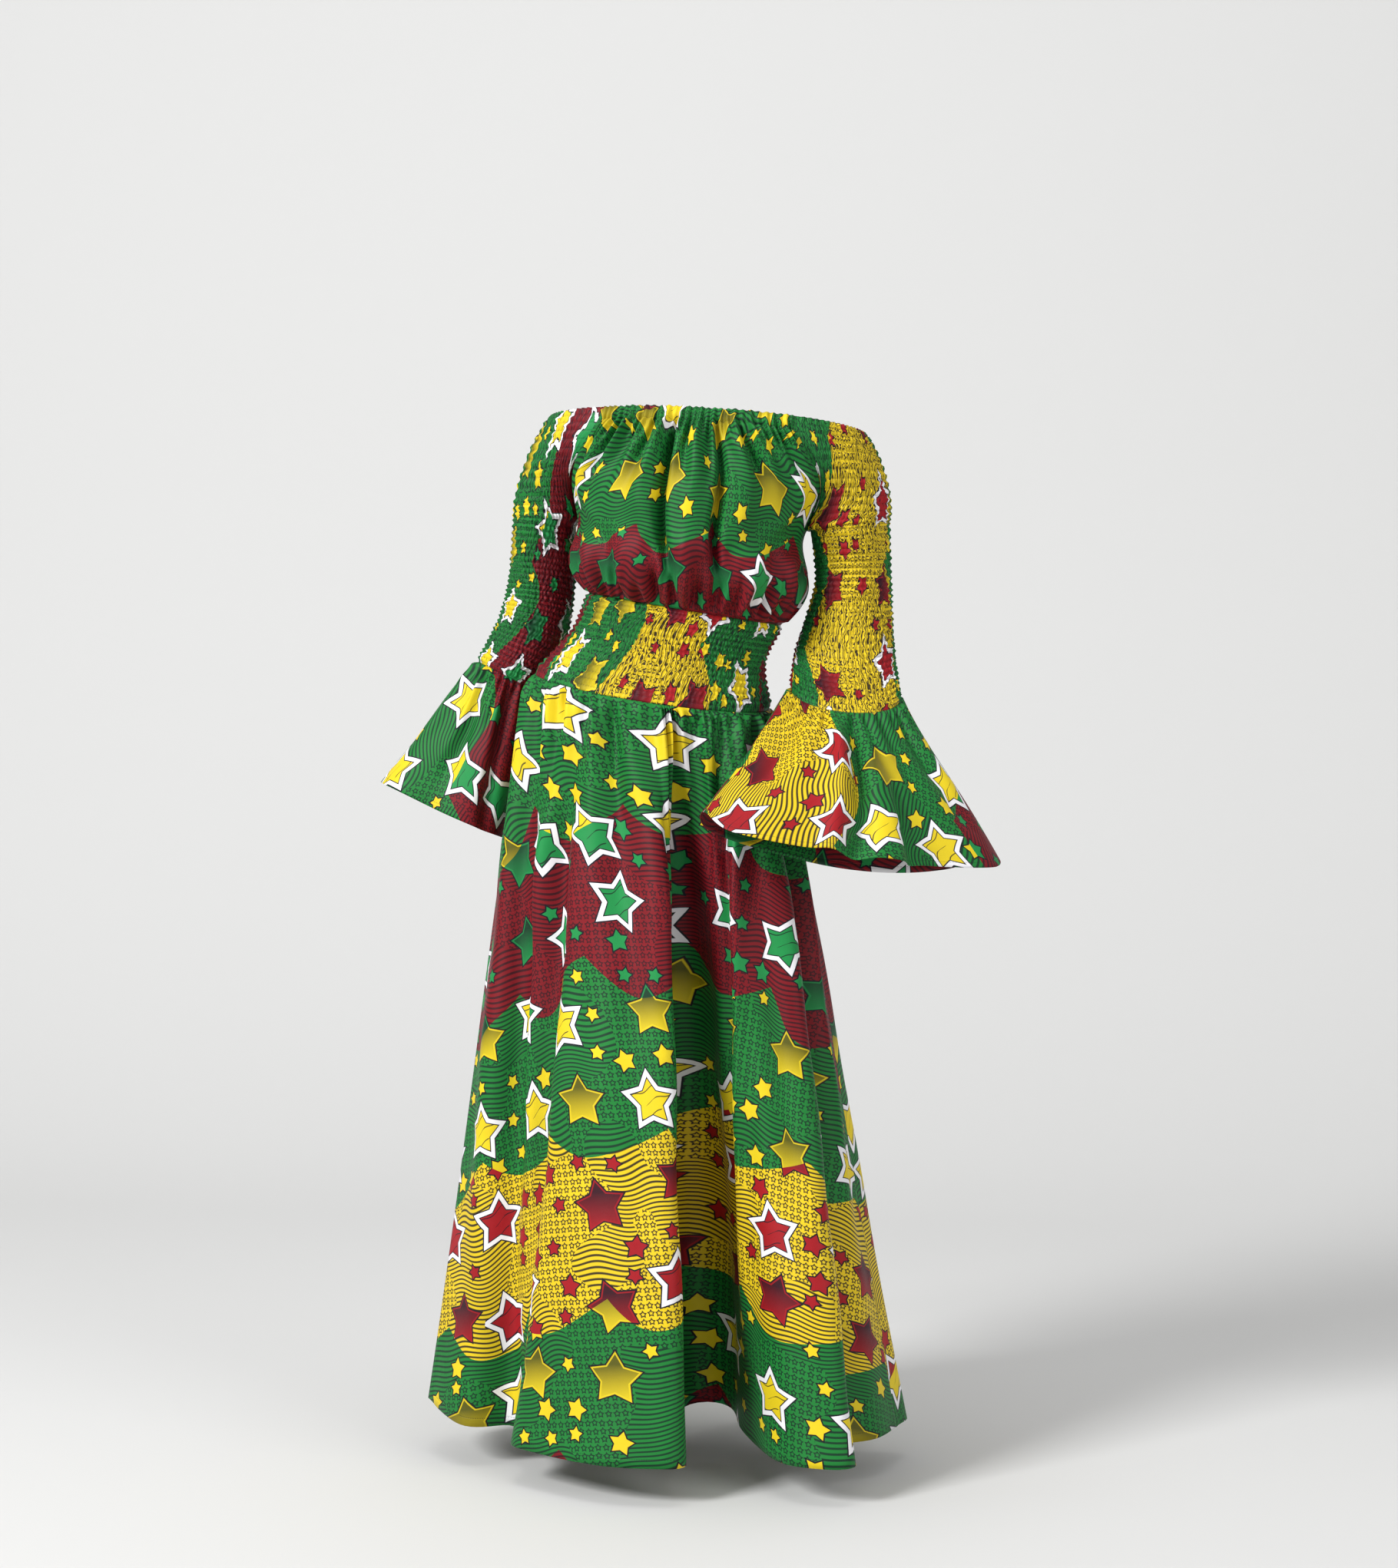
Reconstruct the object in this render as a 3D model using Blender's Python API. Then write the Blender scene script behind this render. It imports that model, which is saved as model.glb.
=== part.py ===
"""An off-the-shoulder ankara wax print dress, in the hollow form that it has when it is worn.

The front faces -Y and +Z is up, in metres. The origin is the middle of the elastic neckline.
Each piece that a maker would cut is one closed wall of cloth, and the pieces stand a seam's gap apart.
"""

import math
from collections import namedtuple

import bmesh
import bpy
from mathutils import Matrix, Vector

WALL = 0.0015
SEAM_GAP = 0.0003

# The elastic casing round the neckline, and the rows of elastic in the shirred pieces.
CASING_SHARE = 0.07
CASING_RAISE = 0.0012
SHIRR_RAISE = 0.0026
SHIRR_PUCKER = 0.0009

# Share of the bodice's height, from the neckline down, where the armhole ends under the arm.
UNDERARM = 0.55
NECK_EDGE_ANGLE = 38.0
SIDE_ANGLE = 90.0
UNDERARM_CLEARANCE = 0.007
UNDERARM_EASE_ROWS = 4
UNDERARM_EASE_SHARE = 0.16

BODICE_COLUMNS = 40
BODICE_ROWS = (0.0, 0.06, 0.13, 0.24, 0.38, 0.55, 0.7, 0.82, 0.92, 1.0)
NECK_GATHERS = 10
NECK_GATHER_DEPTH = 0.0032
NECK_GATHER_PLACE = 0.1
WAIST_GATHER_DEPTH = 0.0038
WAIST_GATHER_PLACE = 0.88
GATHER_SPREAD = 0.09
WAIST_SEAM_FADE = 0.06

WAISTBAND_COLUMNS = 40
WAISTBAND_ELASTICS = 8
WAISTBAND_LINING_STEP = 4

SKIRT_COLUMNS = 52
SKIRT_ROWS = (0.0, 0.03, 0.075, 0.14, 0.26, 0.45, 0.7, 1.0)
SKIRT_GATHERS = 13
SKIRT_GATHER_DEPTH = 0.005
SKIRT_GATHER_FADE = 0.07
HIP_SPRING = 0.014
HIP_PLACE = 0.6
HEM_HEIGHT = -1.37
HEM_STEPS = 24

SLEEVE_COLUMNS = 22
SLEEVE_ELASTICS = 15
SLEEVE_CAP_ELASTICS = 5
SLEEVE_LINING_STEP = 4
SHOULDER_FULLNESS = 0.012
SEAM_PULL = 0.5
SEAM_RELEASE = 0.85
BELL_COLUMNS = 40
BELL_ROWS = (0.0, 0.12, 0.34, 0.66, 1.0)

PRINT_GREEN = (0.013, 0.235, 0.055)
PRINT_YELLOW = (0.75, 0.56, 0.03)
PRINT_RED = (0.21, 0.008, 0.012)
COTTON_ROUGHNESS = 0.62

# A ring of cloth round the body or the arm. at: share of the way down the piece. across, depth, height:
# its middle. half_width, front, back: its reach. roll: degrees that the wearer's right side stands up.
# pitch: degrees that the front hangs down. turn: degrees that its width is swung towards the back on the
# wearer's left.
Ring = namedtuple("Ring", "at across depth height half_width front back roll pitch turn")

BODICE_RINGS = (
    Ring(0.00, 0.000, 0.000, 0.000, 0.216, 0.118, 0.105, 3.7, -6.0, 0.0),
    Ring(0.30, -0.008, 0.000, -0.075, 0.183, 0.149, 0.112, 3.7, -3.0, 0.0),
    Ring(0.55, -0.022, -0.002, -0.141, 0.155, 0.150, 0.116, 4.5, 0.0, 0.0),
    Ring(0.82, -0.025, -0.003, -0.204, 0.163, 0.146, 0.126, 6.5, 2.0, 0.0),
    Ring(1.00, -0.030, -0.004, -0.2495, 0.134, 0.101, 0.096, 10.0, 3.0, 0.0),
)
WAISTBAND_RINGS = (
    Ring(0.0, -0.030, -0.004, -0.2495, 0.134, 0.101, 0.096, 10.0, 3.0, 0.0),
    Ring(0.5, -0.053, -0.007, -0.3022, 0.133, 0.102, 0.097, 10.0, 5.0, 0.0),
    Ring(1.0, -0.0746, -0.0105, -0.3620, 0.163, 0.124, 0.121, 9.5, 8.0, 0.0),
)
LEFT_SLEEVE_RINGS = (
    Ring(0.32, 0.1950, 0.008, -0.138, 0.052, 0.052, 0.050, -4.0, 4.0, 0.0),
    Ring(0.50, 0.1990, 0.026, -0.205, 0.049, 0.051, 0.049, 0.0, 3.0, 0.0),
    Ring(0.66, 0.1935, 0.028, -0.258, 0.056, 0.054, 0.052, 2.0, 10.0, 0.0),
    Ring(0.82, 0.1890, 0.004, -0.315, 0.066, 0.058, 0.056, 3.0, 24.0, 8.0),
    Ring(1.00, 0.1950, -0.050, -0.370, 0.0735, 0.062, 0.060, 3.0, 24.0, 16.0),
)
RIGHT_SLEEVE_RINGS = (
    Ring(0.32, -0.2280, 0.012, -0.128, 0.041, 0.048, 0.046, 6.0, 2.0, 0.0),
    Ring(0.52, -0.2370, 0.036, -0.200, 0.043, 0.045, 0.044, 5.0, 0.0, 0.0),
    Ring(0.72, -0.2490, 0.045, -0.260, 0.046, 0.047, 0.046, 13.0, -4.0, 0.0),
    Ring(0.86, -0.2680, 0.052, -0.302, 0.047, 0.048, 0.048, 22.0, -6.0, 0.0),
    Ring(1.00, -0.2900, 0.058, -0.340, 0.047, 0.049, 0.049, 27.0, -4.0, 0.0),
)
LEFT_BELL_RINGS = (
    LEFT_SLEEVE_RINGS[-1]._replace(at=0.0),
    Ring(0.5, 0.2060, -0.106, -0.472, 0.135, 0.082, 0.074, 5.0, 10.0, 24.0),
    Ring(1.0, 0.2080, -0.146, -0.578, 0.203, 0.088, 0.082, 6.0, -2.0, 28.0),
)
RIGHT_BELL_RINGS = (
    RIGHT_SLEEVE_RINGS[-1]._replace(at=0.0),
    Ring(0.5, -0.3320, 0.068, -0.434, 0.074, 0.068, 0.066, 25.0, -2.0, 10.0),
    Ring(1.0, -0.3770, 0.078, -0.530, 0.102, 0.088, 0.086, 21.7, 0.0, 18.0),
)

# Where each fold of the skirt stands at the hem. waist: share of the panel's top edge that the fold hangs
# from. across, depth: the place in plan. lift: how far that point of the hem hangs above the lowest.
Fold = namedtuple("Fold", "waist across depth lift")

FRONT_FOLDS = (
    Fold(0.00, -0.391, -0.004, 0.026),
    Fold(0.10, -0.325, -0.078, 0.007),
    Fold(0.20, -0.262, -0.070, 0.005),
    Fold(0.25, -0.257, -0.138, 0.002),
    Fold(0.31, -0.194, -0.199, 0.000),
    Fold(0.41, -0.107, -0.250, 0.000),
    Fold(0.50, -0.034, -0.258, 0.000),
    Fold(0.56, -0.004, -0.236, 0.000),
    Fold(0.58, -0.024, -0.150, 0.010),
    Fold(0.60, -0.012, -0.036, 0.029),
    Fold(0.62, 0.028, -0.030, 0.029),
    Fold(0.66, 0.058, -0.074, 0.012),
    Fold(0.73, 0.114, -0.186, 0.000),
    Fold(0.80, 0.166, -0.228, 0.000),
    Fold(0.87, 0.217, -0.218, 0.000),
    Fold(0.90, 0.199, -0.126, 0.004),
    Fold(0.95, 0.236, -0.066, 0.003),
    Fold(1.00, 0.260, 0.016, 0.002),
)
BACK_FOLDS = (
    Fold(0.00, 0.260, 0.016, 0.002),
    Fold(0.07, 0.262, 0.078, 0.004),
    Fold(0.16, 0.160, 0.096, 0.010),
    Fold(0.25, 0.178, 0.186, 0.004),
    Fold(0.33, 0.056, 0.142, 0.012),
    Fold(0.42, 0.024, 0.246, 0.006),
    Fold(0.50, -0.062, 0.158, 0.014),
    Fold(0.58, -0.142, 0.246, 0.008),
    Fold(0.67, -0.186, 0.140, 0.014),
    Fold(0.77, -0.304, 0.188, 0.012),
    Fold(0.86, -0.292, 0.090, 0.018),
    Fold(0.94, -0.388, 0.068, 0.022),
    Fold(1.00, -0.391, -0.004, 0.026),
)

# How far each wave of a bell cuff stands out from its ring at the hem, and how much lower it hangs there.
Wave = namedtuple("Wave", "share reach drop")

LEFT_BELL_WAVES = (
    Wave(0.00, 0.000, -0.030),
    Wave(0.08, 0.006, -0.006),
    Wave(0.18, -0.006, 0.006),
    Wave(0.27, 0.012, 0.010),
    Wave(0.33, -0.016, 0.012),
    Wave(0.42, 0.012, 0.004),
    Wave(0.50, 0.006, -0.012),
    Wave(0.60, -0.012, 0.010),
    Wave(0.70, 0.012, 0.020),
    Wave(0.80, -0.010, 0.012),
    Wave(0.90, 0.008, -0.008),
)
RIGHT_BELL_WAVES = (
    Wave(0.00, -0.010, 0.004),
    Wave(0.12, 0.008, 0.000),
    Wave(0.23, -0.012, 0.004),
    Wave(0.34, 0.012, -0.002),
    Wave(0.45, 0.002, -0.004),
    Wave(0.57, 0.006, 0.000),
    Wave(0.68, -0.012, 0.006),
    Wave(0.79, 0.010, 0.010),
    Wave(0.90, -0.006, 0.008),
)


def smoothstep(value):
    """0 below 0, 1 above 1, and a soft rise between."""
    value = min(max(value, 0.0), 1.0)
    return value * value * (3 - 2 * value)


def bell_curve(value, middle, spread):
    """1 at the middle, falling away softly on both sides."""
    return math.exp(-0.5 * ((value - middle) / spread) ** 2)


def hermite(left, right, left_slope, right_slope, share):
    """A cubic from left to right with the given slopes, at a share from 0 to 1."""
    square, cube = share * share, share**3
    return (
        left * (2 * cube - 3 * square + 1)
        + left_slope * (cube - 2 * square + share)
        + right * (3 * square - 2 * cube)
        + right_slope * (cube - square)
    )


def read_table(rows, column, at):
    """A named column of a table as a smooth curve through its rows, read at a value of its first column."""
    knots = [row[0] for row in rows]
    values = [getattr(row, column) for row in rows]
    last = len(rows) - 1
    k = max(0, min(last - 1, sum(at >= knot for knot in knots) - 1))

    def slope(i):
        low, high = max(i - 1, 0), min(i + 1, last)
        return (values[high] - values[low]) / (knots[high] - knots[low])

    gap = knots[k + 1] - knots[k]
    return hermite(values[k], values[k + 1], slope(k) * gap, slope(k + 1) * gap, (at - knots[k]) / gap)


def ring_at(rings, at):
    """The ring at a share of the way down a piece."""
    return Ring(at, *(read_table(rings, column, at) for column in Ring._fields[1:]))


def ring_frame(ring):
    """The rotation of a ring's plane."""
    turn = Matrix.Rotation(math.radians(ring.turn), 3, "Z")
    roll = Matrix.Rotation(math.radians(ring.roll), 3, "Y")
    pitch = Matrix.Rotation(math.radians(ring.pitch), 3, "X")
    return turn @ roll @ pitch


def ring_point(ring, angle, spring=0.0):
    """A point of a ring. angle: degrees from the front towards the wearer's left. spring: its stand-off."""
    sine, cosine = math.sin(math.radians(angle)), math.cos(math.radians(angle))
    reach = ring.front if cosine > 0 else ring.back
    flat = Vector(((ring.half_width + spring) * sine, -(reach + spring) * cosine, 0.0))
    return Vector((ring.across, ring.depth, ring.height)) + ring_frame(ring) @ flat


def ring_axis(ring):
    """The direction square to a ring."""
    return ring_frame(ring) @ Vector((0.0, 0.0, 1.0))


def shares(count):
    """count + 1 evenly spaced values from 0 to 1."""
    return [i / count for i in range(count + 1)]


def shirr_rows(elastics):
    """Row places for a shirred piece: one row on each elastic and one on the puff between."""
    return shares(2 * elastics)


def shirr_lift(row, column):
    """How far the cloth of a shirred piece stands out: none on an elastic, and puckered on the puffs."""
    if row % 2 == 0:
        return 0.0
    return SHIRR_RAISE + SHIRR_PUCKER * (1 if (column + row // 2) % 2 else -1)


def trimmed(rows, top=None, bottom=None, sides=0):
    """Takes half a seam's gap off the edges that are sewn.

    top, bottom: the axis of the seam there, if the edge is sewn. sides: how many rows have open side edges.
    """
    half = SEAM_GAP / 2
    rows = [[point.copy() for point in row] for row in rows]
    if top:
        rows[0] = [point - top * half for point in rows[0]]
    if bottom:
        rows[-1] = [point + bottom * half for point in rows[-1]]
    for row in rows[:sides]:
        row[0] += (row[1] - row[0]).normalized() * half
        row[-1] += (row[-2] - row[-1]).normalized() * half
    return rows


def outward(rows, row, column, joined_from, axes):
    """The direction out of the cloth at a point of the grid, square to the seam's axis on a sewn edge."""
    last_row, last = len(rows) - 1, len(rows[0]) - 1
    if row >= joined_from:
        along = rows[row][(column + 1) % last] - rows[row][(column - 1) % last]
    else:
        along = rows[row][min(column + 1, last)] - rows[row][max(column - 1, 0)]
    up = rows[max(row - 1, 0)][column] - rows[min(row + 1, last_row)][column]
    axis = axes[0] if row == 0 else axes[1] if row == last_row else None
    normal = along.cross(up if axis is None else axis)
    return normal.normalized()


def cloth_piece(name, rows, lifts, colour, joined_from, axes=(None, None), lining_rows=None):
    """Makes one piece of cloth as a closed wall.

    rows: the plain inner face, row by row from the top. The side edges meet from row joined_from down.
    lifts: how far the outer face stands from the wall there. axes: the seam's axis at the top and bottom.
    lining_rows: the rows that the inner face keeps, where fewer than the outer face's are enough.
    """
    last_row, last = len(rows) - 1, len(rows[0]) - 1
    lining_rows = lining_rows or list(range(last_row + 1))
    mesh = bmesh.new()
    inner, outer = {}, {}
    for j, row in enumerate(rows):
        for i, point in enumerate(row):
            if i == last and j >= joined_from:
                outer[j, i] = outer[j, 0]
                inner[j, i] = inner[j, 0] if j in lining_rows else None
                continue
            stand = outward(rows, j, i, joined_from, axes) * (WALL + lifts[j][i])
            outer[j, i] = mesh.verts.new(point + stand)
            inner[j, i] = mesh.verts.new(point) if j in lining_rows else None
    for i in range(last):
        for j in range(last_row):
            mesh.faces.new((outer[j, i], outer[j + 1, i], outer[j + 1, i + 1], outer[j, i + 1]))
        for j, k in zip(lining_rows, lining_rows[1:]):
            mesh.faces.new((inner[j, i], inner[j, i + 1], inner[k, i + 1], inner[k, i]))
        mesh.faces.new((outer[0, i], outer[0, i + 1], inner[0, i + 1], inner[0, i]))
        hem_inside = (inner[last_row, i], inner[last_row, i + 1])
        mesh.faces.new((*hem_inside, outer[last_row, i + 1], outer[last_row, i]))
    for j in range(min(joined_from, last_row)):
        mesh.faces.new((outer[j, 0], inner[j, 0], inner[j + 1, 0], outer[j + 1, 0]))
        mesh.faces.new((inner[j, last], outer[j, last], outer[j + 1, last], inner[j + 1, last]))
    bmesh.ops.recalc_face_normals(mesh, faces=mesh.faces)
    bmesh.ops.triangulate(mesh, faces=mesh.faces)
    data = bpy.data.meshes.new(name)
    mesh.to_mesh(data)
    mesh.free()
    data.shade_smooth()
    data.materials.append(cotton(name, colour))
    piece = bpy.data.objects.new(name, data)
    bpy.context.scene.collection.objects.link(piece)
    return piece


def cotton(name, colour):
    """Waxed printed cotton in the colour that most of the piece shows."""
    material = bpy.data.materials.new(name + "_cotton")
    material.use_nodes = True
    shader = material.node_tree.nodes["Principled BSDF"]
    shader.inputs["Base Color"].default_value = (*colour, 1.0)
    shader.inputs["Roughness"].default_value = COTTON_ROUGHNESS
    shader.inputs["Metallic"].default_value = 0.0
    return material


def bodice_edge(at):
    """The angle of a bodice panel's side edge: the armhole down to under the arm, and the side below it."""
    return NECK_EDGE_ANGLE + (SIDE_ANGLE - NECK_EDGE_ANGLE) * smoothstep(at / UNDERARM)


def bodice_gather(at, share):
    """The small gathers under the neckline's elastic and above the waist."""
    wave = math.cos(2 * math.pi * NECK_GATHERS * share)
    neck = NECK_GATHER_DEPTH * bell_curve(at, NECK_GATHER_PLACE, GATHER_SPREAD) if at > 0 else 0.0
    waist = WAIST_GATHER_DEPTH * bell_curve(at, WAIST_GATHER_PLACE, GATHER_SPREAD)
    return wave * (neck + waist) * smoothstep((1 - at) / WAIST_SEAM_FADE)


def bodice_point(at, share, facing):
    """A point of a bodice panel. facing: 0 for the front panel and 180 for the back."""
    ring = ring_at(BODICE_RINGS, at)
    angle = facing + (2 * share - 1) * bodice_edge(at)
    return ring_point(ring, angle, bodice_gather(at, share))


def bodice_panel(name, facing):
    """The front or the back of the bodice, gathered on the neck elastic and bloused over the waistband."""
    rows = [[bodice_point(at, share, facing) for share in shares(BODICE_COLUMNS)] for at in BODICE_ROWS]
    lifts = [[CASING_RAISE if 0 < at < CASING_SHARE else 0.0] * (BODICE_COLUMNS + 1) for at in BODICE_ROWS]
    axes = (ring_axis(BODICE_RINGS[0]), ring_axis(BODICE_RINGS[-1]))
    rows = trimmed(rows, bottom=axes[1], sides=len(rows))
    return cloth_piece(name, rows, lifts, PRINT_GREEN, joined_from=len(rows), axes=axes)


def waistband():
    """The shirred band round the waist, closed at a side seam."""
    places = shirr_rows(WAISTBAND_ELASTICS)
    rows = []
    for at in places:
        ring = ring_at(WAISTBAND_RINGS, at)
        rows.append([ring_point(ring, 360 * share - SIDE_ANGLE) for share in shares(WAISTBAND_COLUMNS)])
    lifts = [[shirr_lift(j, i) for i in range(WAISTBAND_COLUMNS + 1)] for j in range(len(places))]
    axes = (ring_axis(WAISTBAND_RINGS[0]), ring_axis(WAISTBAND_RINGS[-1]))
    lining = list(range(0, len(places), WAISTBAND_LINING_STEP))
    return cloth_piece("waistband", trimmed(rows, *axes), lifts, PRINT_YELLOW, 0, axes, lining)


def hem_curve(folds, count):
    """count + 1 points evenly spaced along a panel's hem, each with the waist share that it hangs from."""
    fine = []
    places = [Fold(k, *fold[1:]) for k, fold in enumerate(folds)]
    waists = [Fold(k, fold.waist, 0.0, 0.0) for k, fold in enumerate(folds)]
    for step in range(HEM_STEPS * (len(folds) - 1) + 1):
        k = step / HEM_STEPS
        across, depth, lift = (read_table(places, column, k) for column in ("across", "depth", "lift"))
        fine.append((read_table(waists, "across", k), Vector((across, depth, HEM_HEIGHT + lift))))
    walked = [0.0]
    for (_, here), (_, there) in zip(fine, fine[1:]):
        walked.append(walked[-1] + (there - here).length)
    curve, k = [], 0
    for share in shares(count):
        goal = share * walked[-1]
        while k < len(walked) - 2 and walked[k + 1] < goal:
            k += 1
        part = (goal - walked[k]) / (walked[k + 1] - walked[k])
        waist = fine[k][0] + (fine[k + 1][0] - fine[k][0]) * part
        curve.append((waist, fine[k][1].lerp(fine[k + 1][1], part)))
    return curve


def skirt_panel(name, folds, facing):
    """The front or the back of the skirt, from its gathered top edge straight down each fold to the hem."""
    ring = WAISTBAND_RINGS[-1]
    curve = hem_curve(folds, SKIRT_COLUMNS)
    rows = []
    for at in SKIRT_ROWS:
        row = []
        for i, (waist, hem) in enumerate(curve):
            angle = facing + (2 * waist - 1) * SIDE_ANGLE
            gather = SKIRT_GATHER_DEPTH * math.sin(math.pi * min(at / SKIRT_GATHER_FADE, 1.0))
            wave = math.cos(2 * math.pi * SKIRT_GATHERS * i / SKIRT_COLUMNS)
            spring = HIP_SPRING * math.sin(math.pi * at**HIP_PLACE) + gather * wave
            top = ring_point(ring, angle, spring)
            row.append(top.lerp(hem, at))
        rows.append(row)
    lifts = [[0.0] * (SKIRT_COLUMNS + 1) for _ in SKIRT_ROWS]
    axes = (ring_axis(ring), None)
    rows = trimmed(rows, top=axes[0], sides=len(rows))
    return cloth_piece(name, rows, lifts, PRINT_GREEN, len(rows), axes)


def armhole_point(at, side, facing):
    """A point of the armhole seam, on the wearer's left where side is 1 and on the right where it is -1."""
    share = (1 + side) / 2 if facing == 0 else (1 - side) / 2
    return bodice_point(at, share, facing)


def sleeve_angle(share, side):
    """The angle round a sleeve's ring: from under the arm, round the outside, and back."""
    return 360 * share - SIDE_ANGLE if side > 0 else 360 * share + SIDE_ANGLE


def neck_arc_angle(share, side):
    """The angle round the neckline's ring along a sleeve's top edge."""
    start = NECK_EDGE_ANGLE if side > 0 else 180 + NECK_EDGE_ANGLE
    return start + share * (180 - 2 * NECK_EDGE_ANGLE)


def sleeve_point(rings, side, at, share):
    """A point of a sleeve: an arc between the armhole seams above the arm's pit, and a tube below it."""
    underarm = rings[0].at
    if at >= underarm:
        return ring_point(ring_at(rings, at), sleeve_angle(share, side))
    down = at / underarm
    blend = (smoothstep(down) + down) / 2
    bodice_at = down * UNDERARM
    neck = ring_point(BODICE_RINGS[0], neck_arc_angle(share, side))
    arm = ring_point(rings[0], sleeve_angle(share, side))
    point = neck.lerp(arm, blend)
    release = 1 - smoothstep((down - SEAM_RELEASE) / (1 - SEAM_RELEASE))
    for end, facing in ((0, 0 if side > 0 else 180), (1, 180 if side > 0 else 0)):
        corner_neck = ring_point(BODICE_RINGS[0], neck_arc_angle(end, side))
        corner_arm = ring_point(rings[0], sleeve_angle(end, side))
        seam = armhole_point(bodice_at, side, facing)
        seam.x += side * UNDERARM_CLEARANCE * smoothstep(down)
        weight = max(0.0, 1 - abs(share - end) / SEAM_PULL) ** 2
        point += (seam - corner_neck.lerp(corner_arm, blend)) * weight * release
    point.x += side * SHOULDER_FULLNESS * math.sin(math.pi * share) * math.sin(math.pi * down)
    return point


def sleeve_lift(row, column, cap_rows):
    """The shirring's lift on a sleeve, with none where the sleeve lies close to the bodice."""
    edge = min(column, SLEEVE_COLUMNS - column) / SLEEVE_COLUMNS
    if row <= cap_rows + UNDERARM_EASE_ROWS and edge < UNDERARM_EASE_SHARE:
        return 0.0
    return shirr_lift(row, column)


def sleeve(name, rings, side, colour):
    """A sleeve, shirred from the neckline's casing down to the bell cuff."""
    cap_rows = 2 * SLEEVE_CAP_ELASTICS
    tube_rows = 2 * (SLEEVE_ELASTICS - SLEEVE_CAP_ELASTICS)
    underarm = rings[0].at
    cap = [underarm * share for share in shares(cap_rows)]
    tube = [underarm + (1 - underarm) * share for share in shares(tube_rows)]
    places = cap + tube[1:]
    rows = [[sleeve_point(rings, side, at, share) for share in shares(SLEEVE_COLUMNS)] for at in places]
    lifts = [[sleeve_lift(j, i, cap_rows) for i in range(SLEEVE_COLUMNS + 1)] for j in range(len(places))]
    axes = (ring_axis(BODICE_RINGS[0]), ring_axis(rings[-1]))
    rows = trimmed(rows, bottom=axes[1], sides=cap_rows)
    lining = list(range(cap_rows + 1)) + list(range(cap_rows + 2, len(places), SLEEVE_LINING_STEP))
    if lining[-1] != len(places) - 1:
        lining.append(len(places) - 1)
    return cloth_piece(name, rows, lifts, colour, cap_rows, axes, lining)


def wave_at(waves, column, share):
    """A named column of a bell cuff's waves, read all the way round."""
    around = [wave._replace(share=wave.share + lap) for lap in (-1, 0, 1) for wave in waves]
    return read_table(around, column, share)


def bell_cuff(name, rings, waves, side, colour):
    """A flared bell cuff, gathered into the end of its sleeve."""
    rows = []
    for at in BELL_ROWS:
        ring = ring_at(rings, at)
        row = []
        for share in shares(BELL_COLUMNS):
            point = ring_point(ring, sleeve_angle(share, side), wave_at(waves, "reach", share) * at)
            point.z -= wave_at(waves, "drop", share) * at
            row.append(point)
        rows.append(row)
    lifts = [[0.0] * (BELL_COLUMNS + 1) for _ in BELL_ROWS]
    axes = (ring_axis(rings[0]), None)
    return cloth_piece(name, trimmed(rows, top=axes[0]), lifts, colour, 0, axes)


def main():
    """Builds the dress piece by piece, from the neckline down."""
    for old in list(bpy.data.objects):
        bpy.data.objects.remove(old)
    bodice_panel("bodice_front", 0)
    bodice_panel("bodice_back", 180)
    waistband()
    skirt_panel("skirt_front", FRONT_FOLDS, 0)
    skirt_panel("skirt_back", BACK_FOLDS, 180)
    sleeve("sleeve_left", LEFT_SLEEVE_RINGS, 1, PRINT_YELLOW)
    sleeve("sleeve_right", RIGHT_SLEEVE_RINGS, -1, PRINT_RED)
    bell_cuff("bell_cuff_left", LEFT_BELL_RINGS, LEFT_BELL_WAVES, 1, PRINT_YELLOW)
    bell_cuff("bell_cuff_right", RIGHT_BELL_RINGS, RIGHT_BELL_WAVES, -1, PRINT_GREEN)


main()
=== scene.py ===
"""The finish of an ankara wax print dress: printed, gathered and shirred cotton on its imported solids.

The front faces -Y and +Z is up, in metres. Each piece of cloth is a fine grid bent to the form of
its solid, with the creases, gathers and puckers that the solid leaves out, and a print that follows
the cloth's own grain.
"""

import logging
import math
from dataclasses import dataclass, field
from enum import Enum

import bmesh
import bpy
import numpy as np
from mathutils import Matrix, Vector


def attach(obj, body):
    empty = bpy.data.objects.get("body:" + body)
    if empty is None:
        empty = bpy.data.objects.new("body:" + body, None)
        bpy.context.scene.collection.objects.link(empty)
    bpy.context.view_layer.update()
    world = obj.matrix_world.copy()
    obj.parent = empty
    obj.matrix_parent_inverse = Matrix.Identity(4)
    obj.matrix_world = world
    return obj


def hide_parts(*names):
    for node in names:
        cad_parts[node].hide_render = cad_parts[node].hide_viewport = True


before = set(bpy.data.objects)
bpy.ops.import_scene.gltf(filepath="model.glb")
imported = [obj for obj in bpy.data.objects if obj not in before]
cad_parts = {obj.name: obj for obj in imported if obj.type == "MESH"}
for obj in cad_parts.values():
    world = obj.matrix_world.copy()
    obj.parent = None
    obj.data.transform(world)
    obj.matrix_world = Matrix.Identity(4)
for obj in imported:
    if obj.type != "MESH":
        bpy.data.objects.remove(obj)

log = logging.getLogger("dress")

Array = np.ndarray
RGBA = tuple[float, float, float, float]
Socket = bpy.types.NodeSocket
InkSockets = dict[str, Socket]
ROUND = 2 * math.pi


class Side(Enum):
    """The wearer's side that a piece is on, as the sign of its X."""

    LEFT = 1
    RIGHT = -1

    def round_arm(self, share: Array) -> Array:
        """The angle round this side's arm in degrees, from the side that faces the body."""
        return 360 * share - self.value * SIDE_ANGLE


class Facing(Enum):
    """The way that a panel faces, as its middle's angle from the front in degrees."""

    FRONT = 0
    BACK = 180


class Grain(Enum):
    """Which way the print's colour bands run on a piece."""

    ACROSS = "across"
    DOWN = "down"


@dataclass(frozen=True)
class Ring:
    """A ring of cloth round the body or an arm.

    at is its share of the way down the piece, then come its middle, its reach to each side, front and back,
    and its roll, pitch and turn in degrees.
    """

    at: float
    across: float
    depth: float
    height: float
    half_width: float
    front: float
    back: float
    roll: float
    pitch: float
    turn: float


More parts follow.
